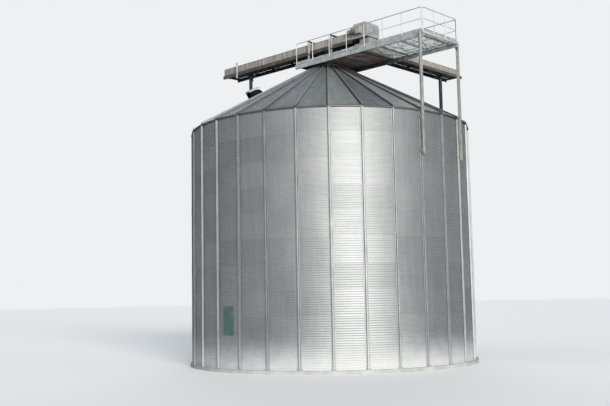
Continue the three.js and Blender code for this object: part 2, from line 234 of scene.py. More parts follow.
def put_up(piece, node, slot, *finishes):
    """Gives a finished piece its name and materials, in the place of its CAD node."""
    activate(piece)
    bpy.ops.object.shade_smooth_by_angle(angle=radians(32))
    piece.name = piece.data.name = node + "_piece"
    if finishes:
        piece.data.materials.clear()
        for finish in finishes:
            piece.data.materials.append(finish)
    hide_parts(node)
    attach(piece, "root")
    return piece


slab = cylinder(240, slab_radius, slab_top, (0, 0, slab_top / 2))
edit_mode()
pick("EDGE", lambda middle, way: middle.z > slab_top - 0.001)
bpy.ops.mesh.bevel(offset=slab_rounding, segments=3)
pick("FACE", lambda middle, normal: normal.z > 0.99 and middle.xy.length < 1.0)
bpy.ops.mesh.inset(thickness=0.6)
object_mode()

# Cast concrete: grey, with soft blotches and sandy specks
cast_concrete, tree, shader = new_material("cast_concrete")
place = add_node(tree, "ShaderNodeTexCoord", {}, {}).outputs["Object"]
blotch = add_node(tree, "ShaderNodeTexNoise", {}, {"Vector": place, "Scale": 1.6, "Detail": 6.0})
sand = add_node(tree, "ShaderNodeTexNoise", {}, {"Vector": place, "Scale": 90.0, "Detail": 3.0})
mixed = add_node(tree, "ShaderNodeMix", {}, {
    "Factor": 0.35, 2: blotch.outputs["Fac"], 3: sand.outputs["Fac"],
})
shade = add_node(tree, "ShaderNodeValToRGB", {}, {"Fac": mixed.outputs[0]}, (
    (0.3, "#7B7D7A"), (0.5, "#929594"), (0.72, "#A3A7A7"),
))
tree.links.new(shade.outputs["Color"], shader.inputs["Base Color"])
shader.inputs["Roughness"].default_value = 0.88
grain = add_node(tree, "ShaderNodeBump", {}, {
    "Height": sand.outputs["Fac"], "Distance": 0.002, "Strength": 0.6,
})
tree.links.new(grain.outputs["Normal"], shader.inputs["Normal"])
put_up(slab, "foundation_slab", "concrete", cast_concrete)

# Wall: ten rings of corrugated galvanised sheet, eleven waves to a ring. Each ring laps over the
# outside of the one below, and one row of bolts holds the lap. The sheets' ends lie behind the
# stiffeners, so a segment shows no upright seam.
segment_count, segment_angle = 5, 72.0
ring_count, ring_height = 10, 1.118
wave_count, wave_rows, wave_depth = 11, 6, 0.0127
wall_bottom = slab_top + seat_gap
wall_top = wall_bottom + ring_count * ring_height
crest_radius, lap_step, sheet_thickness = 6.8608, 0.0035, 0.003
wave_height = ring_height / wave_count
row_height = wave_height / wave_rows
lap_rows = wave_rows // 2


def spin_up(centre, angle, steps, copies=False):
    """Spins the selection about an upright axis, anticlockwise as seen from above."""
    bpy.ops.mesh.spin(
        steps=steps, angle=-radians(angle), center=centre, axis=(0, 0, 1), dupli=copies,
        use_auto_merge=False,
    )


def tidy_mesh(distance=0.0002):
    pick_all()
    bpy.ops.mesh.remove_doubles(threshold=distance)
    bpy.ops.mesh.normals_make_consistent(inside=False)


def round_copies(piece, angles):
    """The piece, and turned copies of it with meshes of their own, at these angles."""
    made = []
    for angle in angles:
        activate(piece)
        bpy.ops.object.duplicate()
        copy = bpy.context.object
        copy.rotation_euler.z = radians(angle)
        made.append(settle(copy))
    bpy.data.objects.remove(piece)
    return made


def put_up_round(piece, angle, count, node, slot, *finishes):
    """Puts up turned copies of a piece, numbered from 1, each an angle on from the last."""
    copies = round_copies(piece, [angle * step for step in range(count)])
    for number, copy in enumerate(copies, 1):
        put_up(copy, node.format(number), slot, *finishes)


def bolt(x, y, z, radius=0.0095, height=0.008, turn=(0, pi / 2, 0)):
    """A hexagon bolt head with its middle at this place, its axis along X unless it is turned."""
    return cylinder(6, radius, height, (x, y, z), turn)


def in_line(piece, count, step):
    """The piece and its copies in one mesh, each a step on from the last."""
    return modify(
        piece, "ARRAY", count=count, use_relative_offset=False, use_constant_offset=True,
        constant_offset_displace=step,
    )


deselect()
total_rows = wave_count * wave_rows + lap_rows
bpy.ops.mesh.primitive_grid_add(x_subdivisions=1, y_subdivisions=total_rows, size=1)
sheet = bpy.context.object
sheet.scale = (1, total_rows * row_height, 1)
sheet.rotation_euler.x = pi / 2
sheet.location = (crest_radius + 0.5, 0, (total_rows / 2 - lap_rows) * row_height)
settle(sheet)
edit_mode()
pick("VERT", lambda place, normal: place.x > crest_radius + 0.5)
bpy.ops.mesh.delete(type="VERT")
for turn, depth in enumerate((0.25, 0.0, 0.25, 0.75, 1.0, 0.75)):
    pick("VERT", lambda place, normal: round(place.z / row_height) % wave_rows == turn)
    bpy.ops.transform.translate(value=(-wave_depth * depth, 0, 0))
pick("VERT", lambda place, normal: place.z < row_height / 2)
bpy.ops.transform.translate(value=(lap_step, 0, 0))
pick_all()
spin_up((0, 0, 0), segment_angle, 24)
tidy_mesh()
object_mode()
modify(sheet, "SOLIDIFY", thickness=sheet_thickness, offset=-1)
sheet.location.z = wall_bottom
settle(sheet)
in_line(sheet, ring_count, (0, 0, ring_height))
edit_mode()
pick_all()
bpy.ops.mesh.bisect(
    plane_co=(0, 0, wall_bottom), plane_no=(0, 0, 1), clear_inner=True, use_fill=False,
)
object_mode()

lap_bolts, bolt_lift = 36, 0.003
seam_bolt = bolt(crest_radius + lap_step + bolt_lift, 0, wall_bottom - 2 * row_height)
edit_mode()
pick_all()
half_pitch = segment_angle / lap_bolts / 2
bpy.ops.transform.rotate(
    value=-radians(half_pitch), orient_axis="Z", center_override=(0, 0, 0),
)
pick_all()
spin_up((0, 0, 0), segment_angle - 2 * half_pitch, lap_bolts - 1, copies=True)
object_mode()
in_line(seam_bolt, ring_count, (0, 0, ring_height))
seam_bolt.location.z = ring_height
settle(seam_bolt)

# An angle ring lies on the slab round the wall's foot, and a band inside the top ring reaches up
# to the roof
def folded_sheet(folds, run, thickness, bend=0.0):
    """A sheet folded along straight lines: the folds' places at one end, and the run to the other."""
    deselect()
    bpy.ops.mesh.primitive_plane_add(location=folds[0])
    sheet = bpy.context.object
    edit_mode()
    bpy.ops.mesh.select_mode(type="VERT")
    pick_all()
    bpy.ops.mesh.merge(type="CENTER")
    for here, there in zip(folds, folds[1:]):
        step = Vector(there) - Vector(here)
        draw_out(step)
    pick_all()
    if run is not None:
        draw_out(run)
        object_mode()
        if bend:
            round_edges(sheet, bend, segments=2, sharper_than=10)
        modify(sheet, "SOLIDIFY", thickness=thickness, offset=0, use_even_offset=True)
        settle(sheet)
    return sheet


def spun_sheet(folds, thickness, angle, steps):
    """A strip with these folds, spun about the silo's axis."""
    strip = folded_sheet(folds, None, thickness)
    spin_up((0, 0, 0), angle, steps)
    tidy_mesh()
    object_mode()
    modify(strip, "SOLIDIFY", thickness=thickness, offset=0, use_even_offset=True)
    return settle(strip)


ring_sheet, ring_steps = 0.004, 24
angle_back, angle_level = crest_radius + ring_sheet, wall_bottom + 0.003
foot_angle = spun_sheet((
    (angle_back, 0, wall_bottom + 0.055), (angle_back, 0, angle_level),
    (angle_back + 0.05, 0, angle_level),
), ring_sheet, segment_angle, ring_steps)
band_radius = crest_radius - 0.018
eave_band = spun_sheet((
    (band_radius, 0, wall_top + 0.048), (band_radius, 0, wall_top - 0.06),
), ring_sheet, segment_angle, ring_steps)
wall_segment = join_up([sheet, seam_bolt, foot_angle, eave_band])

# Hot-dip galvanised sheet, years old: a dull grey zinc skin with faint spangle, and each sheet a
# little lighter or darker than the next. Rain leaves upright streaks. The foot is painted paler and
# duller: a painted reflection of the pale floor.
weathered_zinc, tree, shader = new_material("weathered_galvanised_sheet")
place = add_node(tree, "ShaderNodeTexCoord", {}, {}).outputs["Object"]
parts = add_node(tree, "ShaderNodeSeparateXYZ", {}, {"Vector": place})
compass = add_node(tree, "ShaderNodeMath", {"operation": "ARCTAN2"}, {
    0: parts.outputs["Y"], 1: parts.outputs["X"],
}).outputs[0]
sheet_angle = radians(24)
rings_up = add_node(tree, "ShaderNodeMath", {"operation": "MULTIPLY_ADD"}, {
    0: parts.outputs["Z"], 1: 1 / ring_height, 2: -wall_bottom / ring_height,
})
ring_number = add_node(tree, "ShaderNodeMath", {"operation": "FLOOR"}, {
    0: rings_up.outputs[0],
}).outputs[0]
half_sheets = add_node(tree, "ShaderNodeMath", {"operation": "MULTIPLY"}, {0: ring_number, 1: 0.5})
sheets_round = add_node(tree, "ShaderNodeMath", {"operation": "MULTIPLY_ADD"}, {
    0: compass, 1: 1 / sheet_angle, 2: half_sheets.outputs[0],
})
sheet_number = add_node(tree, "ShaderNodeMath", {"operation": "FLOOR"}, {0: sheets_round.outputs[0]})
sheet_place = add_node(tree, "ShaderNodeCombineXYZ", {}, {
    "X": sheet_number.outputs[0], "Y": ring_number,
})
sheet_tone = add_node(tree, "ShaderNodeTexWhiteNoise", {}, {"Vector": sheet_place.outputs[0]})
unrolled = add_node(tree, "ShaderNodeCombineXYZ", {}, {"X": compass, "Z": parts.outputs["Z"]})
streak_place = add_node(tree, "ShaderNodeMapping", {}, {
    "Vector": unrolled.outputs[0], "Scale": (crest_radius, 1.0, 0.09),
})
streaks = add_node(tree, "ShaderNodeTexNoise", {}, {
    "Vector": streak_place.outputs[0], "Scale": 5.0, "Detail": 5.0, "Roughness": 0.6,
})
dust = add_node(tree, "ShaderNodeTexNoise", {}, {"Vector": place, "Scale": 0.7, "Detail": 4.0})
# Spangle is 10 to 15 mm across; it is drawn at 40 mm so that it shows from the ground
spangle = add_node(tree, "ShaderNodeTexVoronoi", {}, {"Vector": place, "Scale": 25.0})
shades = add_node(tree, "ShaderNodeCombineXYZ", {}, {
    "X": sheet_tone.outputs["Value"], "Y": streaks.outputs["Fac"], "Z": dust.outputs["Fac"],
})
tone = add_node(tree, "ShaderNodeVectorMath", {"operation": "DOT_PRODUCT"}, {
    0: shades.outputs[0], 1: (0.24, 0.42, 0.36),
})
zinc_colour = add_node(tree, "ShaderNodeValToRGB", {}, {"Fac": tone.outputs["Value"]}, (
    (0.25, "#787C7D"), (0.55, "#878B8C"), (0.85, "#959798"),
))
flecked = add_node(tree, "ShaderNodeMix", {"data_type": "RGBA", "blend_type": "MULTIPLY"}, {
    "Factor": 0.10, 6: zinc_colour.outputs["Color"], 7: spangle.outputs["Color"],
})
dull = add_node(tree, "ShaderNodeMapRange", {}, {
    "Value": streaks.outputs["Fac"], "To Min": 0.50, "To Max": 0.60,
})


def floor_reflection_paint(tree, shader, colour, roughness, metallic, most):
    """Painted light: the lowest metre and a half of the silo made paler and duller, a painted
    reflection of the pale floor.
    """
    place = add_node(tree, "ShaderNodeTexCoord", {}, {}).outputs["Object"]
    level = add_node(tree, "ShaderNodeSeparateXYZ", {}, {"Vector": place}).outputs["Z"]
    spots = add_node(tree, "ShaderNodeTexNoise", {}, {"Vector": place, "Scale": 2.2, "Detail": 8.0})
    ragged = add_node(tree, "ShaderNodeMath", {"operation": "MULTIPLY_ADD"}, {
        0: spots.outputs["Fac"], 1: -0.6, 2: level,
    })
    cover = add_node(tree, "ShaderNodeMapRange", {"interpolation_type": "SMOOTHSTEP"}, {
        "Value": ragged.outputs[0], "From Min": -0.5, "From Max": 1.5, "To Min": most, "To Max": 0.0,
    }).outputs["Result"]
    reflection_lit = add_node(tree, "ShaderNodeMix", {"data_type": "RGBA"}, {
        "Factor": cover, 6: colour, 7: linear("#BBBEC0"),
    })
    tree.links.new(reflection_lit.outputs[2], shader.inputs["Base Color"])
    for socket, bare, reflecting in (("Metallic", metallic, 0.1), ("Roughness", roughness, 0.85)):
        mixed = add_node(tree, "ShaderNodeMix", {}, {"Factor": cover, 2: bare, 3: reflecting})
        tree.links.new(mixed.outputs[0], shader.inputs[socket])


# The wall's foot takes the painted reflection of the pale floor
floor_reflection_paint(tree, shader, flecked.outputs[2], dull.outputs["Result"], 0.85, 0.8)

put_up_round(
    wall_segment, segment_angle, segment_count, "wall_segment_{}", "corrugated_sheet", weathered_zinc,
)

# Stiffeners: thirty hat-section posts, rolled from heavy galvanised strip and bolted to the wall
# every second wave. Each is in three lengths with a sleeve at each joint, the lowest on a foot
# plate with two anchor bolts.
bay_count, bay_angle = 30, 12.0
post_back, post_depth, post_top = 6.86465, 0.08, 11.296
flange_edge, hat_mouth, hat_crown, strip = 0.09, 0.05, 0.038, 0.005
post_joints, joint_gap = (4.6, 7.5), 0.002


def plate(low, high):
    """A flat plate or block between two corners."""
    deselect()
    bpy.ops.mesh.primitive_cube_add(size=1)
    made = bpy.context.object
    made.scale = [b - a for a, b in zip(low, high)]
    made.location = [(a + b) / 2 for a, b in zip(low, high)]
    return settle(made)


def hat_section(bottom, top, stand_off):
    flange = post_back + strip / 2 + stand_off
    crown = post_back + post_depth - strip / 2 + stand_off
    return folded_sheet((
        (flange, -flange_edge, bottom), (flange, -hat_mouth, bottom), (crown, -hat_crown, bottom),
        (crown, hat_crown, bottom), (flange, hat_mouth, bottom), (flange, flange_edge, bottom),
    ), (0, 0, top - bottom), strip, bend=0.008)


post_ends = [wall_bottom]
for joint in post_joints:
    post_ends += [joint - joint_gap, joint + joint_gap]
post_ends.append(post_top)
post_parts = [
    hat_section(bottom, top, 0.0) for bottom, top in zip(post_ends[::2], post_ends[1::2])
]
sleeve_half, sleeve_bolts, sleeve_pitch = 0.21, 5, 0.08
for joint in post_joints:
    post_parts.append(hat_section(joint - sleeve_half, joint + sleeve_half, strip))
    for side in (-1, 1):
        sleeve_bolt = bolt(
            post_back + post_depth + strip + bolt_lift, side * 0.02, joint - 2 * sleeve_pitch,
        )
        post_parts.append(in_line(sleeve_bolt, sleeve_bolts, (0, 0, sleeve_pitch)))
flange_bolts, flange_bolt_y = 54, 0.071
for side in (-1, 1):
    flange_bolt = bolt(
        post_back + strip + bolt_lift, side * flange_bolt_y, wall_bottom + 1.5 * wave_height,
    )
    post_parts.append(in_line(flange_bolt, flange_bolts, (0, 0, 2 * wave_height)))
foot_half, foot_reach, foot_sheet = 0.11, 0.12, 0.015
foot_plate = plate(
    (post_back, -foot_half, wall_bottom),
    (post_back + foot_reach, foot_half, wall_bottom + foot_sheet),
)
post_parts.append(round_edges(foot_plate, 0.003))
for side in (-1, 1):
    anchor_x, anchor_y = post_back + foot_reach / 2, side * 0.083
    for level, radius, height in ((0.025, 0.018, 0.02), (0.045, 0.009, 0.03)):
        post_parts.append(bolt(
            anchor_x, anchor_y, wall_bottom + level, radius, height, (0, 0, 0),
        ))
stiffener = join_up(post_parts)


def rolled_strip(name, stops):
    """Thick hot-dip galvanising on rolled strip, with soft clouds and upright runs in the zinc."""
    made, tree, shader = new_material(name)
    place = add_node(tree, "ShaderNodeTexCoord", {}, {}).outputs["Object"]
    cloud = add_node(tree, "ShaderNodeTexNoise", {}, {"Vector": place, "Scale": 1.3, "Detail": 5.0})
    run_place = add_node(tree, "ShaderNodeMapping", {}, {"Vector": place, "Scale": (6.0, 6.0, 0.5)})
    runs = add_node(tree, "ShaderNodeTexNoise", {}, {
        "Vector": run_place.outputs[0], "Scale": 3.0, "Detail": 4.0,
    })
    tone = add_node(tree, "ShaderNodeMix", {}, {
        "Factor": 0.5, 2: cloud.outputs["Fac"], 3: runs.outputs["Fac"],
    })
    colour = add_node(tree, "ShaderNodeValToRGB", {}, {"Fac": tone.outputs[0]}, stops)
    # The posts' feet take the painted reflection of the pale floor too
    floor_reflection_paint(tree, shader, colour.outputs["Color"], 0.6, 0.75, 0.4)
    return made


# The crowns are clean zinc, and one flank of each post is painted darker: painted shade
for name, stops in (
    ("galvanised_rolled_strip", ((0.3, "#6F7375"), (0.5, "#7D8183"), (0.7, "#8B8F90"))),
    ("rolled_strip_painted_shade", ((0.3, "#515557"), (0.5, "#5B5F61"), (0.7, "#66696A"))),
):
    stiffener.data.materials.append(rolled_strip(name, stops))
# The flank that faces +y takes the darker strip, as painted shade
for face in stiffener.data.polygons:
    if face.normal.y > 0.9 and hat_crown - 0.002 < face.center.y < hat_mouth + strip:
        face.material_index = 1

put_up_round(stiffener, bay_angle, bay_count, "stiffener_{:02d}", "stiffener_steel")

# Roof: thirty sheets that lean in to the peak, each a twelve-degree wedge with a row of shallow
# pressed ladders and a drip edge at the eave. Neighbours meet under a raised, bolted cap. The CAD
# wall has 120 flat sides, and its corners bear the panels.
wall_face, panel_depth = 6.86435, 0.045
half_bay, half_facet = radians(bay_angle / 2), radians(1.5)
rib_pitch = radians(29)
rib_slope = tan(rib_pitch)
panel_slope = rib_slope / cos(half_bay)
panel_pitch = atan(panel_slope)
roof_apex = wall_top + panel_depth + wall_face / cos(half_facet) * panel_slope
peak_radius, eave_radius, roof_sheet = 0.85, 6.96035, 0.003

# Galvanised roof sheet that faces the weather: darker and duller than the wall, each bay its own
# tone, and dirt washed down the slope in long streaks. The eave is painted near black: a painted
# shadow line at the drip edge.
# The bays' tones are drawn from white noise. Of the draws 0, 4 and 9, 4 is nearest to the photo.
tone_draw = 4.0
eave_shade_low, eave_shade_high = 11.36, 11.43
roof_zinc, tree, shader = new_material("weathered_galvanised_roof_sheet")
place = add_node(tree, "ShaderNodeTexCoord", {}, {}).outputs["Object"]
parts = add_node(tree, "ShaderNodeSeparateXYZ", {}, {"Vector": place})
compass = add_node(tree, "ShaderNodeMath", {"operation": "ARCTAN2"}, {
    0: parts.outputs["Y"], 1: parts.outputs["X"],
}).outputs[0]
bays_round = add_node(tree, "ShaderNodeMath", {"operation": "MULTIPLY_ADD"}, {
    0: compass, 1: 1 / radians(bay_angle), 2: tone_draw,
})
bay = add_node(tree, "ShaderNodeMath", {"operation": "FLOOR"}, {0: bays_round.outputs[0]})
bay_tone = add_node(tree, "ShaderNodeTexWhiteNoise", {"noise_dimensions": "1D"}, {
    "W": bay.outputs[0],
})
wedge = add_node(tree, "ShaderNodeCombineXYZ", {}, {"X": compass, "Z": parts.outputs["Z"]})
wash_place = add_node(tree, "ShaderNodeMapping", {}, {
    "Vector": wedge.outputs[0], "Scale": (9.0, 1.0, 0.5),
})
washed = add_node(tree, "ShaderNodeTexNoise", {}, {
    "Vector": wash_place.outputs[0], "Scale": 2.2, "Detail": 6.0, "Roughness": 0.62,
})
dirt = add_node(tree, "ShaderNodeTexNoise", {}, {"Vector": place, "Scale": 2.4, "Detail": 6.0})
shades = add_node(tree, "ShaderNodeCombineXYZ", {}, {
    "X": bay_tone.outputs["Value"], "Y": washed.outputs["Fac"], "Z": dirt.outputs["Fac"],
})
tone = add_node(tree, "ShaderNodeVectorMath", {"operation": "DOT_PRODUCT"}, {
    0: shades.outputs[0], 1: (0.34, 0.48, 0.3),
})
zinc_colour = add_node(tree, "ShaderNodeValToRGB", {}, {"Fac": tone.outputs["Value"]}, (
    (0.3, "#51585C"), (0.52, "#6D7374"), (0.78, "#8B908E"),
))
# Painted shade: the sheet darkens towards the eave, for the shadow line at the drip edge
eave_shade = add_node(tree, "ShaderNodeMapRange", {}, {
    "Value": parts.outputs["Z"], "From Min": eave_shade_low, "From Max": eave_shade_high,
    "To Min": 0.75, "To Max": 0.0,
})
eave_shaded = add_node(tree, "ShaderNodeMix", {"data_type": "RGBA"}, {
    "Factor": eave_shade.outputs["Result"], 6: zinc_colour.outputs["Color"], 7: linear("#2B2D2C"),
})
tree.links.new(eave_shaded.outputs[2], shader.inputs["Base Color"])
shader.inputs["Metallic"].default_value = 0.6
shader.inputs["Roughness"].default_value = 0.55

# The rib caps are a little cleaner than the sheets. Each sheet laps over the next one way round, so
# only one side of a rib has an open lap, and that side is painted near black: painted shade.
def mottled(name, scale, detail, stops, metallic, roughness, specular=0.5):
    """A finish that changes between a few near colours in soft patches."""
    made, tree, shader = new_material(name)
    place = add_node(tree, "ShaderNodeTexCoord", {}, {}).outputs["Object"]
    patches = add_node(tree, "ShaderNodeTexNoise", {}, {
        "Vector": place, "Scale": scale, "Detail": detail,
    })
    colour = add_node(tree, "ShaderNodeValToRGB", {}, {"Fac": patches.outputs["Fac"]}, stops)
    tree.links.new(colour.outputs["Color"], shader.inputs["Base Color"])
    for socket, value in (
        ("Metallic", metallic), ("Roughness", roughness), ("Specular IOR Level", specular),
    ):
        shader.inputs[socket].default_value = value
    return made


rib_zinc = mottled(
    "washed_galvanised_rib_cap", 3.0, 5.0, ((0.3, "#6F7577"), (0.7, "#888D8D")), 0.6, 0.5,
)
rib_painted_shade = mottled("painted_rib_shade", 3.5, 6.0, ((0.3, "#1D1F20"), (0.7, "#34383A")), 0.2, 0.8)


def on_slope(x):
    """A plan distance along the middle of a panel, measured up the slope instead."""
    return x / cos(panel_pitch)


def half_width(x):
    return x * tan(half_bay)


near, far = peak_radius * cos(half_bay), eave_radius * cos(half_bay)
deselect()
bpy.ops.mesh.primitive_plane_add(size=1)
panel = bpy.context.object
panel.scale = (on_slope(far) - on_slope(near), 1, 1)
panel.location.x = (on_slope(far) + on_slope(near)) / 2
settle(panel)
edit_mode()
for x in (near, far):
    pick("VERT", lambda place, normal: abs(place.x - on_slope(x)) < 0.01)
    bpy.ops.transform.resize(value=(1, 2 * half_width(x), 1))
ladder_pitch, ladder_width, ladder_margin, ladder_rise = 0.32, 0.11, 0.09, 0.007
first_ladder, last_ladder = on_slope(near) + 0.35, on_slope(far) - 0.3
ladder = first_ladder
while ladder < last_ladder:
    for line in (ladder, ladder + ladder_width):
        pick_all()
        bpy.ops.mesh.bisect(plane_co=(line, 0, 0), plane_no=(1, 0, 0))
    ladder += ladder_pitch
for side in (-1, 1):
    slant = Vector((cos(panel_pitch) * tan(half_bay), -side, 0)).normalized()
    pick_all()
    bpy.ops.mesh.bisect(plane_co=(0, side * -ladder_margin, 0), plane_no=slant)


def in_ladder(place, _):
    along = (place.x - first_ladder) % ladder_pitch
    between = abs(place.y) < half_width(place.x * cos(panel_pitch)) - ladder_margin
    in_row = first_ladder < place.x < ladder - ladder_pitch / 2
    return between and in_row and 0 < along < ladder_width


pick("FACE", in_ladder)
bpy.ops.mesh.inset(thickness=0.022)
bpy.ops.transform.translate(value=(0, 0, ladder_rise))
object_mode()
panel.rotation_euler.y = panel_pitch
panel.location.z = roof_apex
settle(panel)
edit_mode()
pick("EDGE", lambda middle, way: middle.x > far - 0.001)
draw_out((0, 0, -panel_depth))
object_mode()
modify(panel, "SOLIDIFY", thickness=roof_sheet, offset=-1)
panel.data.materials.append(roof_zinc)

rib_inner, rib_outer, rib_height, rib_width = 0.99, 6.91035, 0.075, 0.07
rib_taper, rib_rounding, lap_top, lap_tuck = 0.72, 0.009, 0.003, 0.005
open_lap, closed_lap, rib_sink = 0.055, 0.022, 0.006
rib_start, rib_end = rib_inner / cos(rib_pitch), rib_outer / cos(rib_pitch)
rib = plate(
    (rib_start, -rib_width / 2, -0.008), (rib_end, rib_width / 2, rib_height - rib_sink),
)
edit_mode()
pick("FACE", lambda middle, normal: normal.z > 0.9)
bpy.ops.transform.resize(value=(1, rib_taper, 1))
pick("EDGE", lambda middle, way: middle.z > rib_height - 0.01 and abs(way.x) > 0.9)
bpy.ops.mesh.bevel(offset=rib_rounding, segments=2)
object_mode()
rib_lap = plate(
    (rib_start, -rib_width / 2 - open_lap, -rib_sink),
    (rib_end, -rib_width / 2 + lap_tuck, lap_top),
)
rib_edge = plate(
    (rib_start, rib_width / 2 - lap_tuck, -rib_sink),
    (rib_end, rib_width / 2 + closed_lap, lap_top),
)
rib_bolt_pitch, rib_bolt_count = 0.34, 20
rib_bolts = in_line(
    bolt(rib_start + 0.06, 0, rib_height - rib_sink + bolt_lift, 0.009, 0.007, (0, 0, 0)),
    rib_bolt_count, (rib_bolt_pitch, 0, 0),
)
rib = join_up([rib, rib_lap, rib_edge, rib_bolts])
for finish in (roof_zinc, rib_zinc, rib_painted_shade):
    rib.data.materials.append(finish)
# Caps take the cleaner zinc; the open-lap side takes the painted shade
for face in rib.data.polygons:
    if face.center.z > rib_height - 0.012:
        face.material_index = 1
    elif face.center.y < -0.01:
        face.material_index = 2
rib.rotation_euler.y = rib_pitch
rib.location.z = roof_apex
settle(rib)

sector_bays = bay_count // segment_count
panels = round_copies(panel, [bay_angle * (step - 0.5) for step in range(sector_bays + 1)])
for piece, side in ((panels[0], -1), (panels[-1], 1)):
    activate(piece)
    edit_mode()
    pick_all()
    cut = radians(bay_angle * (-0.5 if side < 0 else sector_bays - 0.5))
    bpy.ops.mesh.bisect(
        plane_co=(0, 0, 0), plane_no=(-side * sin(cut), side * cos(cut), 0),
        clear_outer=True, use_fill=True,
    )
ribs = round_copies(rib, [bay_angle * step for step in range(sector_bays)])
roof_sector = join_up(panels + ribs)
put_up_round(roof_sector, segment_angle, segment_count, "roof_sector_{}", "roof_sheet")

# Peak collar: a rolled steel curb in the roof's top hole, welded to a sloped skirt that is bolted
# down over the roof sheets. The platform's cross beams lie on its rim.
curb_radius, skirt_radius, collar_rim, curb_sheet = 0.84, 0.952, 14.8197, 0.01
skirt_lift, skirt_bolt_radius = 0.008, 0.905


def rib_line(radius):
    """Height of the roof sheet along a rib."""
    return roof_apex - radius * rib_slope


curb_foot, curb_head, curb_lip = rib_line(curb_radius), collar_rim - curb_sheet / 2, 0.04
collar = spun_sheet((
    (skirt_radius, 0, rib_line(skirt_radius) + skirt_lift),
    (curb_radius, 0, curb_foot + skirt_lift), (curb_radius, 0, curb_head),
    (curb_radius - curb_lip, 0, curb_head), (curb_radius - curb_lip, 0, curb_foot - 0.05),
    (curb_radius - 0.095, 0, curb_foot + 0.01),
), curb_sheet, 360, 60)
skirt_bolt = bolt(
    skirt_bolt_radius, 0, rib_line(skirt_bolt_radius) + skirt_lift + curb_sheet, 0.009, 0.012,
    (0, rib_pitch, 0),
)
edit_mode()
pick_all()
spin_up((0, 0, 0), 360 - bay_angle, bay_count - 1, copies=True)
put_up(join_up([collar, skirt_bolt]), "roof_collar", "roof_sheet", roof_zinc)

# Filling spout: the round down pipe from the conveyor, welded to a flat conical lid that lies in
# the collar. Flat bars stiffen the lid, and a bolted flange joins the pipe's two lengths.
lid_bottom, lid_edge, lid_rise, lid_radius = 14.7516, 0.02, 0.045, 0.785
pipe_radius, pipe_top = 0.18, 15.7621


def lathe(profile, steps):
    """A closed round shape from its outline, which begins and ends on the silo's axis."""
    shape = folded_sheet(profile, None, 0)
    spin_up((0, 0, 0), 360, steps)
    tidy_mesh()
    object_mode()
    return settle(shape)


flange_height, pipe_sheet, flange_reach = 15.25, 0.012, 0.03
pipe_body = pipe_radius - pipe_sheet
spout_parts = [lathe((
    (0, 0, lid_bottom), (lid_radius, 0, lid_bottom), (lid_radius, 0, lid_bottom + lid_edge),
    (pipe_radius, 0, lid_bottom + lid_rise), (pipe_body, 0, lid_bottom + lid_rise + 0.004),
    (pipe_body, 0, flange_height - pipe_sheet),
    (pipe_radius + flange_reach, 0, flange_height - pipe_sheet),
    (pipe_radius + flange_reach, 0, flange_height + pipe_sheet),
    (pipe_body, 0, flange_height + pipe_sheet), (pipe_body, 0, pipe_top - pipe_sheet),
    (pipe_radius, 0, pipe_top - pipe_sheet), (pipe_radius, 0, pipe_top), (0, 0, pipe_top),
), 48)]
lid_bars, flange_bolts_round = 8, 8
stiffening_bar = plate((0.19, -0.004, lid_bottom + 0.03), (0.76, 0.004, lid_bottom + 0.06))
spout_parts += round_copies(stiffening_bar, [45 * step + 22.5 for step in range(lid_bars)])
for side in (-1, 1):
    flange_bolt = bolt(
        pipe_radius + 0.012, 0, flange_height + side * 0.015, 0.008, 0.012, (0, 0, 0),
    )
    spout_parts += round_copies(flange_bolt, [45 * step for step in range(flange_bolts_round)])
put_up(join_up(spout_parts), "filling_spout", "frame_steel", roof_zinc)

# Roof vents: a hood of bent sheet between two ribs, its mouth down the slope behind a bird mesh,
# on a flange that is screwed to the roof sheet.
vent_half, vent_side, vent_height, vent_brow, vent_lip = 0.4, 0.24, 0.44, 0.06, 0.06
vent_radius, vent_flange = 3.8, 0.036
vent_turns = {"roof_vent_west": -114.0, "roof_vent_east": 54.0}
arc_steps = 9
arc = [pi / 2 * step / arc_steps for step in range(arc_steps + 1)]
hood_line = [(-vent_half * cos(turn), -vent_side, vent_height * sin(turn)) for turn in arc]
hood_line += [
    (vent_half, -vent_side, vent_height), (vent_half, -vent_side, vent_lip),
    (vent_half - vent_lip, -vent_side, 0),
]


def drawn_out(outline, run):
    """A solid: a flat outline, filled, and drawn out along a run. It is left in edit mode."""
    made = folded_sheet(outline, None, 0)
    pick_all()
    bpy.ops.mesh.edge_face_add()
    draw_out(run)
    tidy_mesh()
    return made


hood = drawn_out(hood_line, (0, 2 * vent_side, 0))
pick("FACE", lambda middle, normal: normal.x > 0.99)
bpy.ops.mesh.inset(thickness=0.03)
draw_out((-0.1, 0, 0))
pick("FACE", lambda middle, normal: abs(normal.y) > 0.99 and abs(middle.y) > vent_side - 0.001)
bpy.ops.mesh.inset(thickness=0.07, depth=-0.03)
bpy.ops.transform.translate(value=(0.045, 0, -0.04))
object_mode()
settle(hood)
round_edges(hood, 0.004)
brow_reach, skirt_sheet = 0.012, 0.012
brow = plate(
    (vent_half - 0.03, -vent_side - brow_reach, vent_height - vent_brow),
    (vent_half + brow_reach, vent_side + brow_reach, vent_height + 0.006),
)
round_edges(brow, 0.004)
skirt_half, skirt_side = vent_half + vent_flange, vent_side + vent_flange
skirt = plate((-skirt_half, -skirt_side, 0.001), (skirt_half, skirt_side, skirt_sheet))
round_edges(skirt, 0.003)
vent_parts = [hood, brow, skirt]
wire, mesh_depth, upright_wires, level_wires = 0.003, vent_half - 0.03, 13, 8
for place in range(upright_wires):
    y = -vent_side + 0.04 + place * (2 * vent_side - 0.08) / (upright_wires - 1)
    vent_parts.append(plate(
        (mesh_depth, y - wire, vent_lip + 0.02), (mesh_depth + wire, y + wire, vent_height - 0.05),
    ))
for place in range(level_wires):
    z = vent_lip + 0.04 + place * 0.038
    vent_parts.append(plate(
        (mesh_depth + wire, -vent_side + 0.02, z - wire),
        (mesh_depth + 2 * wire, vent_side - 0.02, z + wire),
    ))
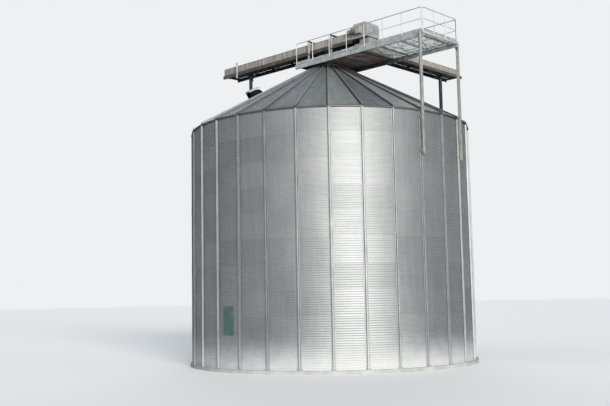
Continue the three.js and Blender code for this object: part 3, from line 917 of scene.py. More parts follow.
for side in (-1, 1):
    vent_parts.append(in_line(
        bolt(-vent_half, side * (vent_side + 0.02), 0.014, 0.007, 0.006, (0, 0, 0)), 7, (0.133, 0, 0),
    ))
vent = join_up(vent_parts)
vent.rotation_euler.y = panel_pitch
vent.location = (vent_radius, 0, roof_apex - vent_radius * panel_slope)
settle(vent)

# Galvanised hoods, dulled by the weather, with their insides and mouths painted almost black: painted
# shade
hood_zinc = mottled(
    "weathered_galvanised_hood", 6.0, 5.0, ((0.3, "#82888B"), (0.7, "#A0A5A6")), 0.55, 0.55,
)
dark_inside = mottled(
    "hood_inside_painted_shade", 9.0, 4.0, ((0.3, "#090A0B"), (0.7, "#16181A")), 0.0, 1.0, 0.05,
)
# The inside faces and the mouth take the near-black finish: painted shade
for (node, turn), piece in zip(vent_turns.items(), round_copies(vent, vent_turns.values())):
    put_up(piece, node, "frame_steel", hood_zinc, dark_inside)
    towards = Vector((cos(radians(turn)), sin(radians(turn)), 0))
    for face in piece.data.polygons:
        depth = face.center.dot(towards) - vent_radius
        level = face.center.z - (roof_apex - face.center.dot(towards) * panel_slope)
        across = face.center.xy - towards.xy * face.center.dot(towards)
        inside = abs(depth) < 0.36 and 0.05 < level < 0.5 and across.length < vent_side - 0.025
        at_mouth = depth > 0.25 and level < vent_height - vent_brow
        if inside and face.area > 0.02 or at_mouth:
            face.material_index = 1

# Green plate: a painted steel sheet with a raised border, fixed flat on the wall with six bolts.
# Its paint has faded and chalked, and it bears no words.
plate_half, plate_bottom, plate_height, bolt_rows = 0.3, 1.6, 1.25, 3
plate_back, plate_sheet = wall_face + seat_gap, 0.019


def press_in(rule, border, move):
    """Presses the faces that the rule picks, inside a border, in the active object."""
    edit_mode()
    pick("FACE", rule)
    bpy.ops.mesh.inset(thickness=border)
    bpy.ops.transform.translate(value=move)
    object_mode()


board = plate(
    (plate_back, -plate_half, plate_bottom),
    (plate_back + plate_sheet, plate_half, plate_bottom + plate_height),
)
press_in(lambda middle, normal: normal.x > 0.9, 0.028, (-0.007, 0, 0))
round_edges(board, 0.003, 2)
board_parts = [board]
for side in (-1, 1):
    for place in range(bolt_rows):
        z = plate_bottom + 0.06 + place * (plate_height - 0.12) / (bolt_rows - 1)
        board_parts.append(bolt(plate_back + 0.021, side * (plate_half - 0.014), z, 0.009, 0.006))
board = join_up(board_parts)
board.rotation_euler.z = radians(-90)
settle(board)
green_enamel = mottled(
    "faded_green_enamel", 2.5, 6.0, ((0.3, "#2B473F"), (0.55, "#38544C"), (0.75, "#4C635D")),
    0.0, 0.55,
)
put_up(board, "green_plate", "green_plate", green_enamel)

# Eave posts: two square tubes that stand off their stiffeners on bolted brackets and carry the
# platform's outer end on welded cleats.
post_side, post_foot, post_stand, upper_bracket = 0.12, 9.35, 0.03, 10.93
gusset_sheet = 0.008
bay_turn = radians(bay_angle)
crown_face = post_back + post_depth + seat_gap
eave_post_face = crown_face + post_stand
platform_under, beam_depth = 14.7, 0.2
platform_top = platform_under + beam_depth


def bracket(bottom):
    """A bracket of two plates and four bolts, between the stiffener's crown and the post."""
    arm_half, arm_height, pad_half, pad_margin = 0.038, 0.2, 0.085, 0.02
    parts = [
        plate(
            (crown_face, -arm_half, bottom),
            (eave_post_face + seat_gap, arm_half, bottom + arm_height),
        ),
        plate(
            (eave_post_face - 0.008, -pad_half, bottom + pad_margin),
            (eave_post_face + 0.004, pad_half, bottom + arm_height - pad_margin),
        ),
    ]
    for side in (-1, 1):
        pad_bolt = bolt(eave_post_face - 0.014, side * 0.072, bottom + 0.05, 0.009, 0.012)
        parts.append(in_line(pad_bolt, 2, (0, 0, 0.1)))
    return parts


def eave_post(inward):
    """A post with its brackets, its cleat on the side that inward names, and two gussets."""
    tube = plate(
        (eave_post_face, -post_side / 2, post_foot),
        (eave_post_face + post_side, post_side / 2, platform_top),
    )
    round_edges(tube, 0.012, 3)
    cleat_seat, cleat_sheet = platform_under - seat_gap, 0.02
    cleat_bottom = cleat_seat - cleat_sheet
    reach = inward * (post_side / 2 + 0.15)
    cleat = plate(
        (eave_post_face, min(0, reach), cleat_bottom),
        (eave_post_face + post_side, max(0, reach), cleat_seat),
    )
    parts = [tube, round_edges(cleat, 0.003)]
    for x in (eave_post_face + 0.012, eave_post_face + post_side - 0.012):
        gusset = drawn_out((
            (x, inward * post_side / 2, cleat_bottom),
            (x, inward * (post_side / 2 + 0.13), cleat_bottom),
            (x, inward * post_side / 2, cleat_seat - 0.17),
        ), (gusset_sheet, 0, 0))
        object_mode()
        parts.append(settle(gusset))
    parts += bracket(post_foot + 0.1) + bracket(upper_bracket)
    return join_up(parts)


# Bright galvanised steel sections: pale, with the soft bloom of newer zinc
bright_zinc = mottled(
    "galvanised_steel_section", 4.0, 6.0, ((0.3, "#8C9293"), (0.5, "#9EA4A4"), (0.7, "#AFB4B3")),
    0.55, 0.5,
)

# The posts are duller than the platform's other steel, and the side out of the sun is painted darker
# and greenish: painted shade
dull_zinc = mottled(
    "dull_galvanised_tube", 3.0, 6.0, ((0.3, "#6E7474"), (0.7, "#8B9190")), 0.55, 0.6,
)
post_painted_shade = mottled("painted_shade_on_tube", 5.0, 8.0, ((0.3, "#5F6560"), (0.7, "#7C8379")), 0.0, 0.85)

for node, angle, inward in (("eave_post_south", -bay_angle, 1), ("eave_post_north", bay_angle, -1)):
    post = eave_post(inward)
    post.data.materials.append(dull_zinc)
    post.data.materials.append(post_painted_shade)
    # Faces towards -y take the darker finish: painted shade
    for face in post.data.polygons:
        face.material_index = int(face.normal.y < -0.9)
    post.rotation_euler.z = radians(angle)
    settle(post)
    put_up(post, node, "frame_steel")

# Platform frame: two channels along the silo's peak out to the eave posts, with cross beams
# bolted between them on cleats, and flat bar braces under the open half. The steel is coloured
# darker near the machinery.
platform_west, platform_east = -0.95, 7.0
post_corner = (cos(bay_turn) + sin(bay_turn)) * post_side / 2
platform_half = (eave_post_face + post_side / 2) * sin(bay_turn) - post_corner - seat_gap
channel_flange, channel_sheet = 0.07, 0.008


def channel_bar(start, end, outer, side, bottom, depth, flange, sheet):
    """A rolled channel along x, its web outside and its flanges turned in towards y = 0."""
    web = side * (outer - sheet / 2)
    inner = side * (outer - flange)
    low, high = bottom + sheet / 2, bottom + depth - sheet / 2
    return folded_sheet(
        ((start, inner, low), (start, web, low), (start, web, high), (start, inner, high)),
        (end - start, 0, 0), sheet,
    )


def bar_between(first, last, width, thickness):
    """A flat bar between two points at one level."""
    first, last = Vector(first), Vector(last)
    along = last - first
    half = along.length / 2
    bar = plate((-half, -width / 2, -thickness / 2), (half, width / 2, thickness / 2))
    bar.rotation_euler.z = along.to_2d().angle_signed(Vector((1, 0)))
    bar.location = (first + last) / 2
    return settle(bar)


frame_parts = [
    channel_bar(platform_west, platform_east, platform_half, side, platform_under, beam_depth,
                channel_flange, channel_sheet)
    for side in (-1, 1)
]
beam_half, beam_height, first_beam, beam_pitch = 0.03, 0.08, -0.6, 1.2
beam_places = [platform_west + 0.032, platform_east - 0.032]
beam_places += [
    first_beam + beam_pitch * step for step in range(7)
    if first_beam + beam_pitch * step < platform_east - 2 * beam_half
]
beam_places.sort()
inside_web, sideways = platform_half - channel_sheet / 2, (pi / 2, 0, 0)
for x in beam_places:
    frame_parts.append(round_edges(plate(
        (x - beam_half, -inside_web, platform_top - beam_height),
        (x + beam_half, inside_web, platform_top - 0.002),
    ), 0.004, 2))
    cleat_x = x + 2 * beam_half if x < platform_east - 0.1 else x - 2 * beam_half
    for side in (-1, 1):
        y = side * (inside_web - 0.004)
        frame_parts.append(plate(
            (cleat_x - 0.03, min(y, y - side * 0.008), platform_under + 0.03),
            (cleat_x + 0.03, max(y, y - side * 0.008), platform_top - 0.03),
        ))
        cleat_bolt = bolt(
            cleat_x, side * (platform_half + 0.004), platform_under + 0.06, 0.01, 0.008, sideways,
        )
        frame_parts.append(in_line(cleat_bolt, 2, (0, 0, 0.07)))
brace_level, first_braced = platform_top - beam_height - 0.003, 4
for here, there in zip(beam_places[first_braced:], beam_places[first_braced + 1:]):
    for side in (-1, 1):
        frame_parts.append(bar_between(
            (here, side * inside_web, brace_level), (there, -side * inside_web, brace_level),
            0.04, 0.006,
        ))

# Galvanised sections, coloured darker near the machinery and pale out on the open deck
dark_section, tree, shader = new_material("steel_section_darker_inboard")
place = add_node(tree, "ShaderNodeTexCoord", {}, {}).outputs["Object"]
patches = add_node(tree, "ShaderNodeTexNoise", {}, {"Vector": place, "Scale": 3.0, "Detail": 6.0})
dark_tones = add_node(tree, "ShaderNodeValToRGB", {}, {"Fac": patches.outputs["Fac"]}, (
    (0.3, "#3B4144"), (0.5, "#50575A"), (0.7, "#687073"),
))
clean = add_node(tree, "ShaderNodeValToRGB", {}, {"Fac": patches.outputs["Fac"]}, (
    (0.3, "#8C9293"), (0.7, "#AFB4B3"),
))
outward = add_node(tree, "ShaderNodeSeparateXYZ", {}, {"Vector": place}).outputs["X"]
edge_of_dark = add_node(tree, "ShaderNodeMath", {"operation": "MULTIPLY_ADD"}, {
    0: patches.outputs["Fac"], 1: 0.8, 2: outward,
})
paleness = add_node(tree, "ShaderNodeMapRange", {}, {
    "Value": edge_of_dark.outputs[0], "From Min": 3.9, "From Max": 5.0,
})
inboard_tone = add_node(tree, "ShaderNodeMix", {"data_type": "RGBA"}, {
    "Factor": paleness.outputs["Result"], 6: dark_tones.outputs["Color"], 7: clean.outputs["Color"],
})
tree.links.new(inboard_tone.outputs[2], shader.inputs["Base Color"])
shader.inputs["Metallic"].default_value = 0.4
shader.inputs["Roughness"].default_value = 0.6
platform_frame = put_up(
    join_up(frame_parts), "platform_frame", "frame_steel", dark_section, bright_zinc,
)
for face in platform_frame.data.polygons:
    outer_web = abs(face.center.y) > platform_half - 0.002 and abs(face.normal.y) > 0.5
    face.material_index = int(outer_web)

# Platform deck: weathered chequer plate round the machinery, and open expanded metal beyond it, in
# panels banded with flat bar over three bearing bars. The spout passes through a round hole.
deck_bottom, deck_top = platform_top + seat_gap, platform_top + 0.0303
grating_start, hole_radius, plate_gap = 3.25, 0.2, 0.003
deck_parts = []
plate_edges = [platform_west, 0.6, 1.95, grating_start]
for west, east in zip(plate_edges, plate_edges[1:]):
    for south, north in ((-platform_half, 0.0), (0.0, platform_half)):
        sheet = plate(
            (west + plate_gap, south + plate_gap, deck_bottom),
            (east - plate_gap, north - plate_gap, deck_top - 0.004),
        )
        if west < 0:
            cutter = cylinder(48, hole_radius, 1, (0, 0, deck_top))
            modify(sheet, "BOOLEAN", operation="DIFFERENCE", object=cutter, solver="EXACT")
            bpy.data.objects.remove(cutter)
        deck_parts.append(round_edges(sheet, 0.002))
chequer_count = len(deck_parts)
strand_slant, strand_pitch, strand_width, strand_thick = radians(20), 0.038, 0.005, 0.004
strand_bottom, bar_half = deck_top - 0.006, 0.003
deck_length, deck_middle = platform_east - grating_start, (platform_east + grating_start) / 2
strand_length = 2 * platform_half / cos(strand_slant) + 0.1
strand_spread = (deck_length + 2 * platform_half * tan(strand_slant)) * cos(strand_slant)
strand_count = int(strand_spread / strand_pitch)
for way in (-1, 1):
    strand = plate(
        (-strand_width / 2, -strand_length / 2, strand_bottom),
        (strand_width / 2, strand_length / 2, strand_bottom + strand_thick),
    )
    strand.location.x = -strand_count * strand_pitch / 2
    strands = in_line(settle(strand), strand_count + 1, (strand_pitch, 0, 0))
    strands.rotation_euler.z = way * strand_slant
    strands.location.x = deck_middle
    settle(strands)
    edit_mode()
    for edge, outward in (
        ((grating_start + bar_half, 0, 0), (-1, 0, 0)), ((platform_east - bar_half, 0, 0), (1, 0, 0)),
        ((0, platform_half - bar_half, 0), (0, 1, 0)), ((0, bar_half - platform_half, 0), (0, -1, 0)),
    ):
        pick_all()
        bpy.ops.mesh.bisect(plane_co=edge, plane_no=outward, clear_outer=True, use_fill=True)
    object_mode()
    deck_parts.append(strands)
bearing_bars, deck_bands = (-0.7, 0.0, 0.7), (4.5, 5.75)
for y in bearing_bars:
    deck_parts.append(plate(
        (grating_start, y - bar_half, deck_bottom),
        (platform_east - 0.002, y + bar_half, deck_top - 0.007),
    ))
for x in (grating_start, *deck_bands, platform_east - 2 * bar_half):
    deck_parts.append(plate(
        (x, -platform_half + 0.001, deck_bottom),
        (x + 2 * bar_half, platform_half - 0.001, deck_top),
    ))
for side in (-1, 1):
    y = side * (platform_half - 0.004)
    deck_parts.append(plate(
        (grating_start, y - bar_half, deck_bottom), (platform_east, y + bar_half, deck_top),
    ))

# Brown-stained chequer plate, its raised lozenges 25 mm long, and pale galvanised bar
stained_plate, tree, shader = new_material("stained_chequer_plate")
place = add_node(tree, "ShaderNodeTexCoord", {}, {}).outputs["Object"]
stain = add_node(tree, "ShaderNodeTexNoise", {}, {"Vector": place, "Scale": 1.8, "Detail": 6.0})
stain_colour = add_node(tree, "ShaderNodeValToRGB", {}, {"Fac": stain.outputs["Fac"]}, (
    (0.32, "#5E4C46"), (0.5, "#7D6A63"), (0.7, "#98908A"),
))
tree.links.new(stain_colour.outputs["Color"], shader.inputs["Base Color"])
shader.inputs["Metallic"].default_value = 0.2
shader.inputs["Roughness"].default_value = 0.7
lozenges = add_node(tree, "ShaderNodeTexChecker", {}, {"Vector": place, "Scale": 40.0})
raised = add_node(tree, "ShaderNodeBump", {}, {
    "Height": lozenges.outputs["Fac"], "Distance": 0.001, "Strength": 0.5,
})
tree.links.new(raised.outputs["Normal"], shader.inputs["Normal"])

for part in deck_parts[:chequer_count]:
    part.data.materials.append(stained_plate)
for part in deck_parts[chequer_count:]:
    part.data.materials.append(bright_zinc)
put_up(join_up(deck_parts), "platform_deck", "grating")

# Handrails: galvanised tube, its top rail bent down into the end posts, a knee rail, and a folded
# toe board. Each post stands on a foot plate.
rail_height, knee_height, tube_radius, knee_radius = 1.1, 0.55, 0.02, 0.0135
toe_height, post_bay, bend_radius = 0.12, 1.25, 0.09
rail_bottom = deck_top + seat_gap
rail_line = platform_half - 0.04
rail_east_x = platform_east - 0.04


def tube_run(radius, start, legs, sides=12):
    """A bent tube: straight legs, each a way to go, with a quarter turn between them."""
    start = Vector(start)
    first = Vector(legs[0])
    deselect()
    bpy.ops.mesh.primitive_circle_add(
        vertices=sides, radius=radius, fill_type="NGON", location=start,
        rotation=first.to_track_quat("Z", "Y").to_euler(),
    )
    tube = settle(bpy.context.object)
    edit_mode()
    pick_all()
    here = start
    for number, leg in enumerate(legs):
        leg = Vector(leg)
        draw_out(leg)
        here = here + leg
        if number + 1 < len(legs):
            turn_to = Vector(legs[number + 1]).normalized()
            axis = leg.normalized().cross(turn_to)
            centre = here + turn_to * bend_radius
            bpy.ops.mesh.spin(
                steps=6, angle=-pi / 2, center=centre, axis=axis, use_auto_merge=False,
            )
            here = centre + leg.normalized() * bend_radius
    tidy_mesh()
    object_mode()
    return tube


def handrail(length):
    """A straight handrail along x, from 0 to its length."""
    inset, foot_half, toe_bottom = tube_radius + 0.001, 0.05, rail_bottom + 0.014
    rise = rail_height - tube_radius - bend_radius
    between = length - 2 * inset
    parts = [
        tube_run(tube_radius, (inset, 0, rail_bottom), (
            (0, 0, rise), (between - 2 * bend_radius, 0, 0), (0, 0, -rise),
        )),
        tube_run(knee_radius, (inset, 0, rail_bottom + knee_height), ((between, 0, 0),), 10),
    ]
    bays = ceil(length / post_bay)
    for number in range(bays + 1):
        x = inset + number / bays * between
        if 0 < number < bays:
            upright = (0, 0, rail_height - tube_radius)
            parts.append(tube_run(tube_radius, (x, 0, rail_bottom), (upright,)))
        parts.append(plate(
            (max(0.0, x - foot_half), -0.022, rail_bottom),
            (min(length, x + foot_half), 0.022, rail_bottom + 0.008),
        ))
    parts.append(folded_sheet((
        (0.004, 0.016, toe_bottom), (0.004, 0.004, toe_bottom),
        (0.004, 0.004, rail_bottom + toe_height), (0.004, 0.016, rail_bottom + toe_height),
    ), (length - 0.008, 0, 0), 0.003))
    return join_up(parts)


crossing_x, crossing_half, rail_passage = 2.7, 0.5, 0.05
rail_end = rail_east_x - 0.021 - seat_gap
rail_start = platform_west + 0.04
west_end = crossing_x - crossing_half - rail_passage
east_end = crossing_x + crossing_half + rail_passage
rails = {
    "platform_rail_south": (rail_end - rail_start, rail_start, -rail_line, 0.0),
    "platform_rail_northwest": (west_end - rail_start, rail_start, rail_line, 0.0),
    "platform_rail_northeast": (rail_end - east_end, east_end, rail_line, 0.0),
    "platform_rail_east": (2 * rail_line, rail_east_x, -rail_line, 90.0),
}
for node, (length, x, y, turn) in rails.items():
    rail = handrail(length)
    rail.rotation_euler.z = radians(turn)
    rail.location = (x, y, 0)
    settle(rail)
    put_up(rail, node, "frame_steel", bright_zinc)

# Main gallery: two channels that carry the conveyor west from the peak on cross bearers, two
# portals on the deck that hold it from either side, two splice posts, and one leg on a roof rib.
gallery_west, gallery_east, gallery_half = -7.5, 2.15, 0.55
gallery_under, gallery_depth = 15.58, 0.18
gallery_flange, gallery_sheet, weld_step = 0.06, 0.008, 0.002
conveyor_half, cross_conveyor_half = 0.45, 0.35
bearer_top = gallery_under + gallery_depth + weld_step
leg_side = 0.14


def steel_tube(low, high, corner=0.01):
    """A square steel tube between two corners, its long edges rounded."""
    return round_edges(plate(low, high), corner, 2)


def leg_on_roof(radius, surface, top):
    """A leg and its sloped foot plate, at this radius on +X; the surface gives the roof's height."""
    reach, foot_half, foot_sheet, half, gusset_rise = 0.16, 0.13, 0.02, leg_side / 2, 0.12
    here = surface(radius)

    def follow_roof(half_length):
        """Moves the active object's lower ends to the roof's height there."""
        edit_mode()
        for side in (-1, 1):
            pick("VERT", lambda place, normal: (
                place.z < top - 0.1 and side * (place.x - radius) > 0
            ))
            step = surface(radius + side * half_length) - here
            bpy.ops.transform.translate(value=(0, 0, step))
        object_mode()

    tube = plate((radius - half, -half, here), (radius + half, half, top))
    follow_roof(half)
    round_edges(tube, 0.01, 2)
    foot = plate((radius - reach, -foot_half, here), (radius + reach, foot_half, here + foot_sheet))
    follow_roof(reach)
    parts = [tube, round_edges(foot, 0.003)]
    for along in (-1, 1):
        x = radius + along * 0.115
        for across in (-1, 1):
            parts.append(bolt(
                x, across * 0.1, surface(x) + foot_sheet, 0.012, 0.03, (0, rib_pitch, 0),
            ))
        inner, outer = radius + along * half, radius + along * (reach - 0.01)
        for edge in (-1, 1):
            y = edge * 0.05 - gusset_sheet / 2
            gusset = drawn_out((
                (inner, y, surface(inner) + foot_sheet), (outer, y, surface(outer) + foot_sheet),
                (inner, y, surface(inner) + foot_sheet + gusset_rise),
            ), (0, gusset_sheet, 0))
            object_mode()
            parts.append(settle(gusset))
    return join_up(parts)


def bearer(place, half, bottom):
    """A tube across a gallery, between its channels, with its bolts on their outer faces."""
    middle = bottom + gallery_flange / 2
    parts = [steel_tube(
        (place - gallery_flange / 2, -half, bottom),
        (place + gallery_flange / 2, half, bottom + gallery_flange), 0.005,
    )]
    for side in (-1, 1):
        parts.append(in_line(
            bolt(place - 0.015, side * (half + 0.008), middle, 0.008, 0.007, sideways),
            2, (0.03, 0, 0),
        ))
    return parts


def brace(start, end, half, level):
    """A flat bar from one side of a gallery to the other, under its bearers."""
    return bar_between((start, -half, level), (end, half, level), 0.05, 0.006)


def seal_strips(start, end, casing_half, web_half, top):
    """Two flat strips that close the gaps between a casing and its gallery's channels."""
    strips = []
    for side in (-1, 1):
        low, high = sorted((side * (casing_half - 0.02), side * web_half))
        strips.append(plate((start + 0.01, low, top - 0.016), (end - 0.01, high, top - 0.012)))
    return strips


gallery_parts = [
    channel_bar(gallery_west, gallery_east, gallery_half, side, gallery_under, gallery_depth,
                gallery_flange, gallery_sheet)
    for side in (-1, 1)
]
bearer_places = [-7.46, -6.3, -4.4, -2.9, -1.5, 2.11]
web_half = gallery_half - gallery_sheet
for x in bearer_places:
    gallery_parts += bearer(x, gallery_half - gallery_sheet / 2, bearer_top - gallery_flange)
for here, there in zip(bearer_places, bearer_places[1:]):
    gallery_parts.append(brace(here, there, web_half, gallery_under + 0.02))
    gallery_parts.append(brace(here, there, -web_half, gallery_under + 0.028))
portal_side, portal_top = 0.08, 16.3
portal_reach, portal_half, portal_corner = gallery_half + portal_side, portal_side / 2, 0.008
for x in (-0.75, 0.8):
    west, east = x - portal_half, x + portal_half
    for bottom in (gallery_under - portal_half, portal_top - portal_side):
        gallery_parts.append(steel_tube(
            (west, -portal_reach, bottom), (east, portal_reach, bottom + portal_side), portal_corner,
        ))
    for side in (-1, 1):
        low, high = sorted((side * gallery_half, side * portal_reach))
        gallery_parts.append(steel_tube(
            (west, low, rail_bottom), (east, high, portal_top - 0.004), portal_corner,
        ))
        low, high = sorted((side * (gallery_half - 0.03), side * (gallery_half + 0.075)))
        gallery_parts.append(plate(
            (x - 0.09, low, rail_bottom), (x + 0.09, high, rail_bottom + 0.012),
        ))
splice_x = -6.3
for side in (-1, 1):
    low, high = sorted((side * gallery_half, side * portal_reach))
    gallery_parts.append(steel_tube(
        (splice_x - portal_half, low, gallery_under - 2 * portal_side),
        (splice_x + portal_half, high, gallery_under + 4 * gallery_depth), portal_corner,
    ))
leg_x = -5.8
leg_foot = rib_height / cos(rib_pitch) + seat_gap
gallery_leg = leg_on_roof(
    -leg_x, lambda radius: rib_line(radius) + leg_foot, gallery_under + gallery_sheet,
)
gallery_leg.rotation_euler.z = pi
gallery_parts.append(settle(gallery_leg))
leg_head = gallery_under + weld_step
gallery_parts.append(steel_tube(
    (leg_x - leg_side / 2, -gallery_half + gallery_sheet / 2, leg_head),
    (leg_x + leg_side / 2, gallery_half - gallery_sheet / 2, leg_head + gallery_flange), 0.005,
))
gallery_parts += seal_strips(gallery_west, gallery_east, conveyor_half, web_half, bearer_top)
gallery_frame = join_up(gallery_parts)

# The galleries are painted near black between their channels: painted shade under the conveyors.
# The channels' outer sides are dark brown: a brown stain, darkened further as painted shade of the
# side out of the sun. The portals and the splice posts are bare galvanised.
painted_shade_section = mottled(
    "near_black_painted_shade", 3.0, 6.0, ((0.3, "#16191E"), (0.7, "#2C3035")), 0.0, 0.8, 0.2,
)
stained_shaded_channel = mottled(
    "brown_stain_and_painted_shade", 2.6, 6.0, ((0.3, "#302B28"), (0.5, "#3F3935"), (0.7, "#4F4843")),
    0.2, 0.65,
)
put_up(
    gallery_frame, "main_gallery_frame", "frame_steel", painted_shade_section, stained_shaded_channel, bright_zinc,
)
# Faces between the channels stay near black, as painted shade; the outer webs take brown with painted
# shade
for face in gallery_frame.data.polygons:
    if abs(face.center.y) > gallery_half + 0.001:
        face.material_index = 2
    elif abs(face.center.y) > gallery_half - 0.002 and abs(face.normal.y) > 0.5:
        face.material_index = 1

# Cross gallery: the like frame under the second conveyor. It lies on the deck and reaches north
# over the eave, on one leg that stands in the middle of a roof sheet.
cross_south, cross_north, cross_depth = -0.6, 7.4, 0.15
cross_under = rail_bottom
cross_bearer_top = cross_under + cross_depth + weld_step
cross_parts = [
    channel_bar(cross_south, cross_north, crossing_half, side, cross_under, cross_depth,
                gallery_flange, gallery_sheet)
    for side in (-1, 1)
]
cross_places = [-0.56, 0.8, 2.2, 3.6, 4.8, 7.36]
cross_web_half = crossing_half - gallery_sheet
for y in cross_places:
    cross_parts += bearer(y, crossing_half - gallery_sheet / 2, cross_bearer_top - gallery_flange)
for here, there in zip(cross_places, cross_places[1:]):
    cross_parts.append(brace(here, there, cross_web_half, cross_under + 0.02))
cross_parts += seal_strips(
    cross_south, cross_north, cross_conveyor_half, cross_web_half, cross_bearer_top,
)
cross_frame = join_up(cross_parts)
cross_frame.rotation_euler.z = pi / 2
cross_frame.location.x = crossing_x
settle(cross_frame)
cross_leg_angle = 5.5 * bay_turn
cross_leg_radius = crossing_x / cos(cross_leg_angle)
cross_leg_y = cross_leg_radius * sin(cross_leg_angle)
cross_leg = leg_on_roof(
    cross_leg_radius, lambda radius: roof_apex - radius * panel_slope + seat_gap,
    cross_under + gallery_flange / 2,
)
cross_leg.rotation_euler.z = cross_leg_angle
head_half = crossing_half - gallery_sheet / 2
head_bar = steel_tube(
    (crossing_x - head_half, cross_leg_y - leg_side, cross_under + weld_step),
    (crossing_x + head_half, cross_leg_y + leg_side, cross_under + gallery_flange), 0.005,
)
cross_frame = put_up(
    join_up([cross_frame, settle(cross_leg), head_bar]), "cross_gallery_frame", "frame_steel",
    painted_shade_section, stained_shaded_channel,
)
# Faces between the channels stay near black, as painted shade; the outer webs take brown with painted
# shade
for face in cross_frame.data.polygons:
    outer_web = abs(face.center.x - crossing_x) > crossing_half - 0.002 and abs(face.normal.x) > 0.5
    face.material_index = int(outer_web)

# Conveyors: closed casings of folded steel in bolted lengths, each with a flange at its ends and a
# cover that laps over the sides. The main one has a taller head, with a shaft bearing on one side
# and the drive on the other, and a chute down to the cross conveyor.
casing_bottom = bearer_top + seat_gap
cross_casing_bottom = cross_bearer_top + seat_gap


def casing(start, end, half, bottom, height, joints):
    """A casing along x: the trough, its flanges at the joints, its covers and their bolts."""
    body_half, flange_half, cover_half = half - 0.006, half + 0.018, half + 0.004
    top, bolt_rows = bottom + height, 4
    trough = plate(
        (start + 0.001, -body_half, bottom), (end - 0.001, body_half, top - 0.012),
    )
    parts = [round_edges(trough, 0.006, 2)]
    for x in joints:
        low, high = max(start, x - 0.02), min(end, x + 0.02)
        flange = plate((low, -flange_half, bottom), (high, flange_half, top - 0.002))
        parts.append(round_edges(flange, 0.003))
        bolt_x = low - 0.004 if x > start + 0.1 else high + 0.004
        for side in (-1, 1):
            parts.append(in_line(
                bolt(bolt_x, side * (half + 0.008), bottom + 0.05, 0.007, 0.01),
                bolt_rows, (0, 0, (height - 0.1) / (bolt_rows - 1)),
            ))
    for here, there in zip(joints, joints[1:]):
        cover = plate(
            (here + 0.022, -cover_half, top - 0.03), (there - 0.022, cover_half, top),
        )
        press_in(lambda middle, normal: normal.z > 0.9, 0.05, (0, 0, -0.004))
        parts.append(round_edges(cover, 0.004, 2))
        clip_count = max(2, int((there - here) / 0.5))
        clip_step = (there - here - 0.2) / (clip_count - 1)
        middle = (here + there) / 2
        for side in (-1, 1):
            y = side * (half + 0.002)
            clip = plate((here + 0.09, y - 0.008, top - 0.07), (here + 0.11, y + 0.008, top - 0.012))
            parts.append(in_line(clip, clip_count, (clip_step, 0, 0)))
        for side in (-1, 1):
            y = side * half
            stiffening = plate(
                (middle - 0.018, y - 0.008, bottom + 0.01), (middle + 0.018, y + 0.008, top - 0.075),
            )
            parts.append(round_edges(stiffening, 0.003))
    return parts


conveyor_west, conveyor_east, conveyor_height = -7.5, 3.05, 0.4
head_west, head_height, head_slope, chute_half = 2.05, 0.75, 0.12, 0.3
main_joints = [-7.48, -5.9, -4.3, -2.7, -1.2, 0.35, head_west - 0.03]
main_parts = casing(
    conveyor_west, head_west, conveyor_half, casing_bottom, conveyor_height, main_joints,
)
head_top = casing_bottom + head_height
head = drawn_out((
    (head_west, -conveyor_half, casing_bottom), (conveyor_east, -conveyor_half, casing_bottom),
    (conveyor_east, -conveyor_half, head_top - head_slope),
    (conveyor_east - head_slope, -conveyor_half, head_top),
    (head_west + head_slope, -conveyor_half, head_top),
    (head_west, -conveyor_half, casing_bottom + conveyor_height),
), (0, 2 * conveyor_half, 0))
pick("FACE", lambda middle, normal: normal.x > 0.99 or abs(normal.y) > 0.99)
bpy.ops.mesh.inset(thickness=0.045, use_individual=True)
bpy.ops.mesh.select_all(action="DESELECT")
object_mode()
main_parts.append(round_edges(settle(head), 0.006, 2))
shaft_x, shaft_height, bearing_y = 2.6, 0.36, conveyor_half + 0.003
bearing_radius, block_half, block_rise = 0.085, 0.13, 0.06
shaft_level = casing_bottom + shaft_height
bearing = cylinder(
    32, bearing_radius, 0.05, (shaft_x, bearing_y + 0.02, shaft_level), sideways,
)
main_parts.append(round_edges(bearing, 0.008, 2))
main_parts.append(round_edges(plate(
    (shaft_x - block_half, bearing_y - 0.004, shaft_level - block_rise),
    (shaft_x + block_half, bearing_y + 0.018, shaft_level + block_rise),
), 0.006, 2))
door_half, door_bottom, door_top = 0.24, casing_bottom + 0.16, casing_bottom + 0.52
door = plate(
    (conveyor_east - 0.01, -door_half, door_bottom), (conveyor_east, door_half, door_top),
)
main_parts.append(round_edges(door, 0.004, 2))
cross_casing_height, chute_flange, chute_inset = 0.35, 0.024, 0.012
chute_bottom = cross_casing_bottom + cross_casing_height + seat_gap
chute_west, chute_east = crossing_x - chute_half, crossing_x + chute_half
chute_body = chute_half - chute_inset
main_parts.append(plate(
    (chute_west + chute_inset, -chute_body, chute_bottom),
    (chute_east - chute_inset, chute_body, casing_bottom),
))
for level in (chute_bottom, casing_bottom - chute_flange):
    main_parts.append(round_edges(plate(
        (chute_west, -chute_half, level), (chute_east, chute_half, level + chute_flange),
    ), 0.003))

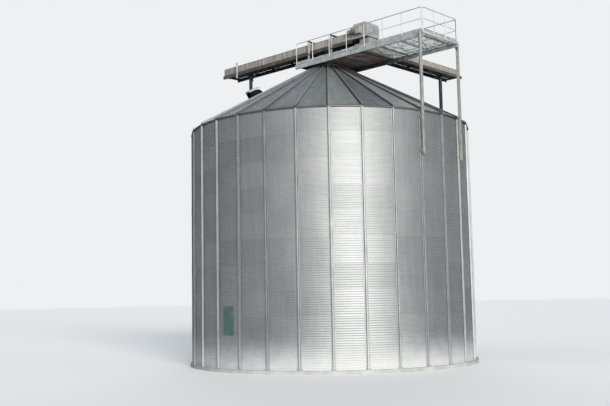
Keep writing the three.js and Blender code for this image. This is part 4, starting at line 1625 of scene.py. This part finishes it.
# Grey machine enamel over steel, sprayed smooth, dulled and streaked by weather. The casings'
# undersides are painted near black as painted shade, and the head's sheets are bare galvanised steel.
grey_enamel, tree, shader = new_material("weathered_grey_enamel")
place = add_node(tree, "ShaderNodeTexCoord", {}, {}).outputs["Object"]
rain = add_node(tree, "ShaderNodeMapping", {}, {"Vector": place, "Scale": (3.0, 3.0, 0.6)})
weather = add_node(tree, "ShaderNodeTexNoise", {}, {
    "Vector": rain.outputs[0], "Scale": 2.5, "Detail": 6.0,
})
enamel = add_node(tree, "ShaderNodeValToRGB", {}, {"Fac": weather.outputs["Fac"]}, (
    (0.3, "#6E6C68"), (0.5, "#7E7C78"), (0.7, "#8E8C88"),
))
tree.links.new(enamel.outputs["Color"], shader.inputs["Base Color"])
shader.inputs["Metallic"].default_value = 0.15
shader.inputs["Roughness"].default_value = 0.55
main_conveyor = put_up(
    join_up(main_parts), "main_conveyor", "conveyor_casing", grey_enamel, painted_shade_section, bright_zinc,
)
# Undersides take the near-black finish: painted shade
for face in main_conveyor.data.polygons:
    if face.normal.z < -0.5:
        face.material_index = 1
    elif face.center.x > head_west - 0.01 and face.center.z > casing_bottom:
        face.material_index = 2

cross_joints = [cross_south + 0.02, 0.9, 2.5, 4.1, 5.7, cross_north - 0.02]
cross_casing = join_up(casing(
    cross_south, cross_north, cross_conveyor_half, cross_casing_bottom, cross_casing_height,
    cross_joints,
))
cross_casing.rotation_euler.z = pi / 2
cross_casing.location.x = crossing_x
settle(cross_casing)
cross_conveyor = put_up(
    cross_casing, "cross_conveyor", "conveyor_casing", grey_enamel, painted_shade_section,
)
# Undersides take the near-black finish: painted shade
for face in cross_conveyor.data.polygons:
    face.material_index = int(face.normal.z < -0.5)

# Drive: a cast gearbox on the side of the head, with a finned electric motor, its cowl and its
# terminal box.
gear_length, gear_width, gear_height = 0.3, 0.26, 0.4
motor_radius, motor_length, fin_steps, fin_height = 0.12, 0.52, 80, 0.018
drive_face = -conveyor_half - seat_gap
gearbox = plate(
    (shaft_x - gear_length / 2, drive_face - gear_width, shaft_level - gear_height / 2),
    (shaft_x + gear_length / 2, drive_face, shaft_level + gear_height / 2),
)
round_edges(gearbox, 0.03, 4)
edit_mode()
pick("FACE", lambda middle, normal: normal.y < -0.99)
bpy.ops.mesh.inset(thickness=0.02)
bpy.ops.mesh.inset(thickness=0.012, depth=-0.008)
object_mode()
motor_start = shaft_x - gear_length / 2 - motor_length
motor_end, motor_y = motor_start + motor_length, drive_face - gear_width / 2


def motor_round(radius, start, end, sides=48):
    middle = ((start + end) / 2, motor_y, shaft_level)
    return cylinder(sides, radius, end - start, middle, (0, pi / 2, 0))


fin_body = motor_round(motor_radius - 0.02, motor_start + 0.11, motor_end - 0.05, fin_steps)
edit_mode()
bpy.ops.mesh.select_mode(type="FACE")
bpy.ops.mesh.select_all(action="DESELECT")
shape = bmesh.from_edit_mesh(fin_body.data)
for face in shape.faces:
    if len(face.verts) == 4:
        middle = face.calc_center_median()
        out = Vector((middle.y - motor_y, middle.z - shaft_level))
        turn = Vector((0, 1)).angle_signed(out, 0.0)
        face.select_set(round((turn / (2 * pi) * fin_steps) - 0.5) % 2 == 0)
bmesh.update_edit_mesh(fin_body.data)
bpy.ops.mesh.extrude_faces_move(TRANSFORM_OT_shrink_fatten={"value": fin_height})
object_mode()
cowl = round_edges(motor_round(motor_radius, motor_start, motor_start + 0.12), 0.012, 3)
motor_flange = round_edges(motor_round(motor_radius, motor_end - 0.055, motor_end + 0.004), 0.004)
motor_top, box_half = shaft_level + motor_radius, 0.055
terminal_box = round_edges(plate(
    (motor_start + 0.2, motor_y - box_half, motor_top - 0.03),
    (motor_start + 0.34, motor_y + box_half, motor_top + 0.05),
), 0.008, 2)
put_up(
    join_up([gearbox, fin_body, cowl, motor_flange, terminal_box]),
    "drive_unit", "conveyor_casing", grey_enamel,
)
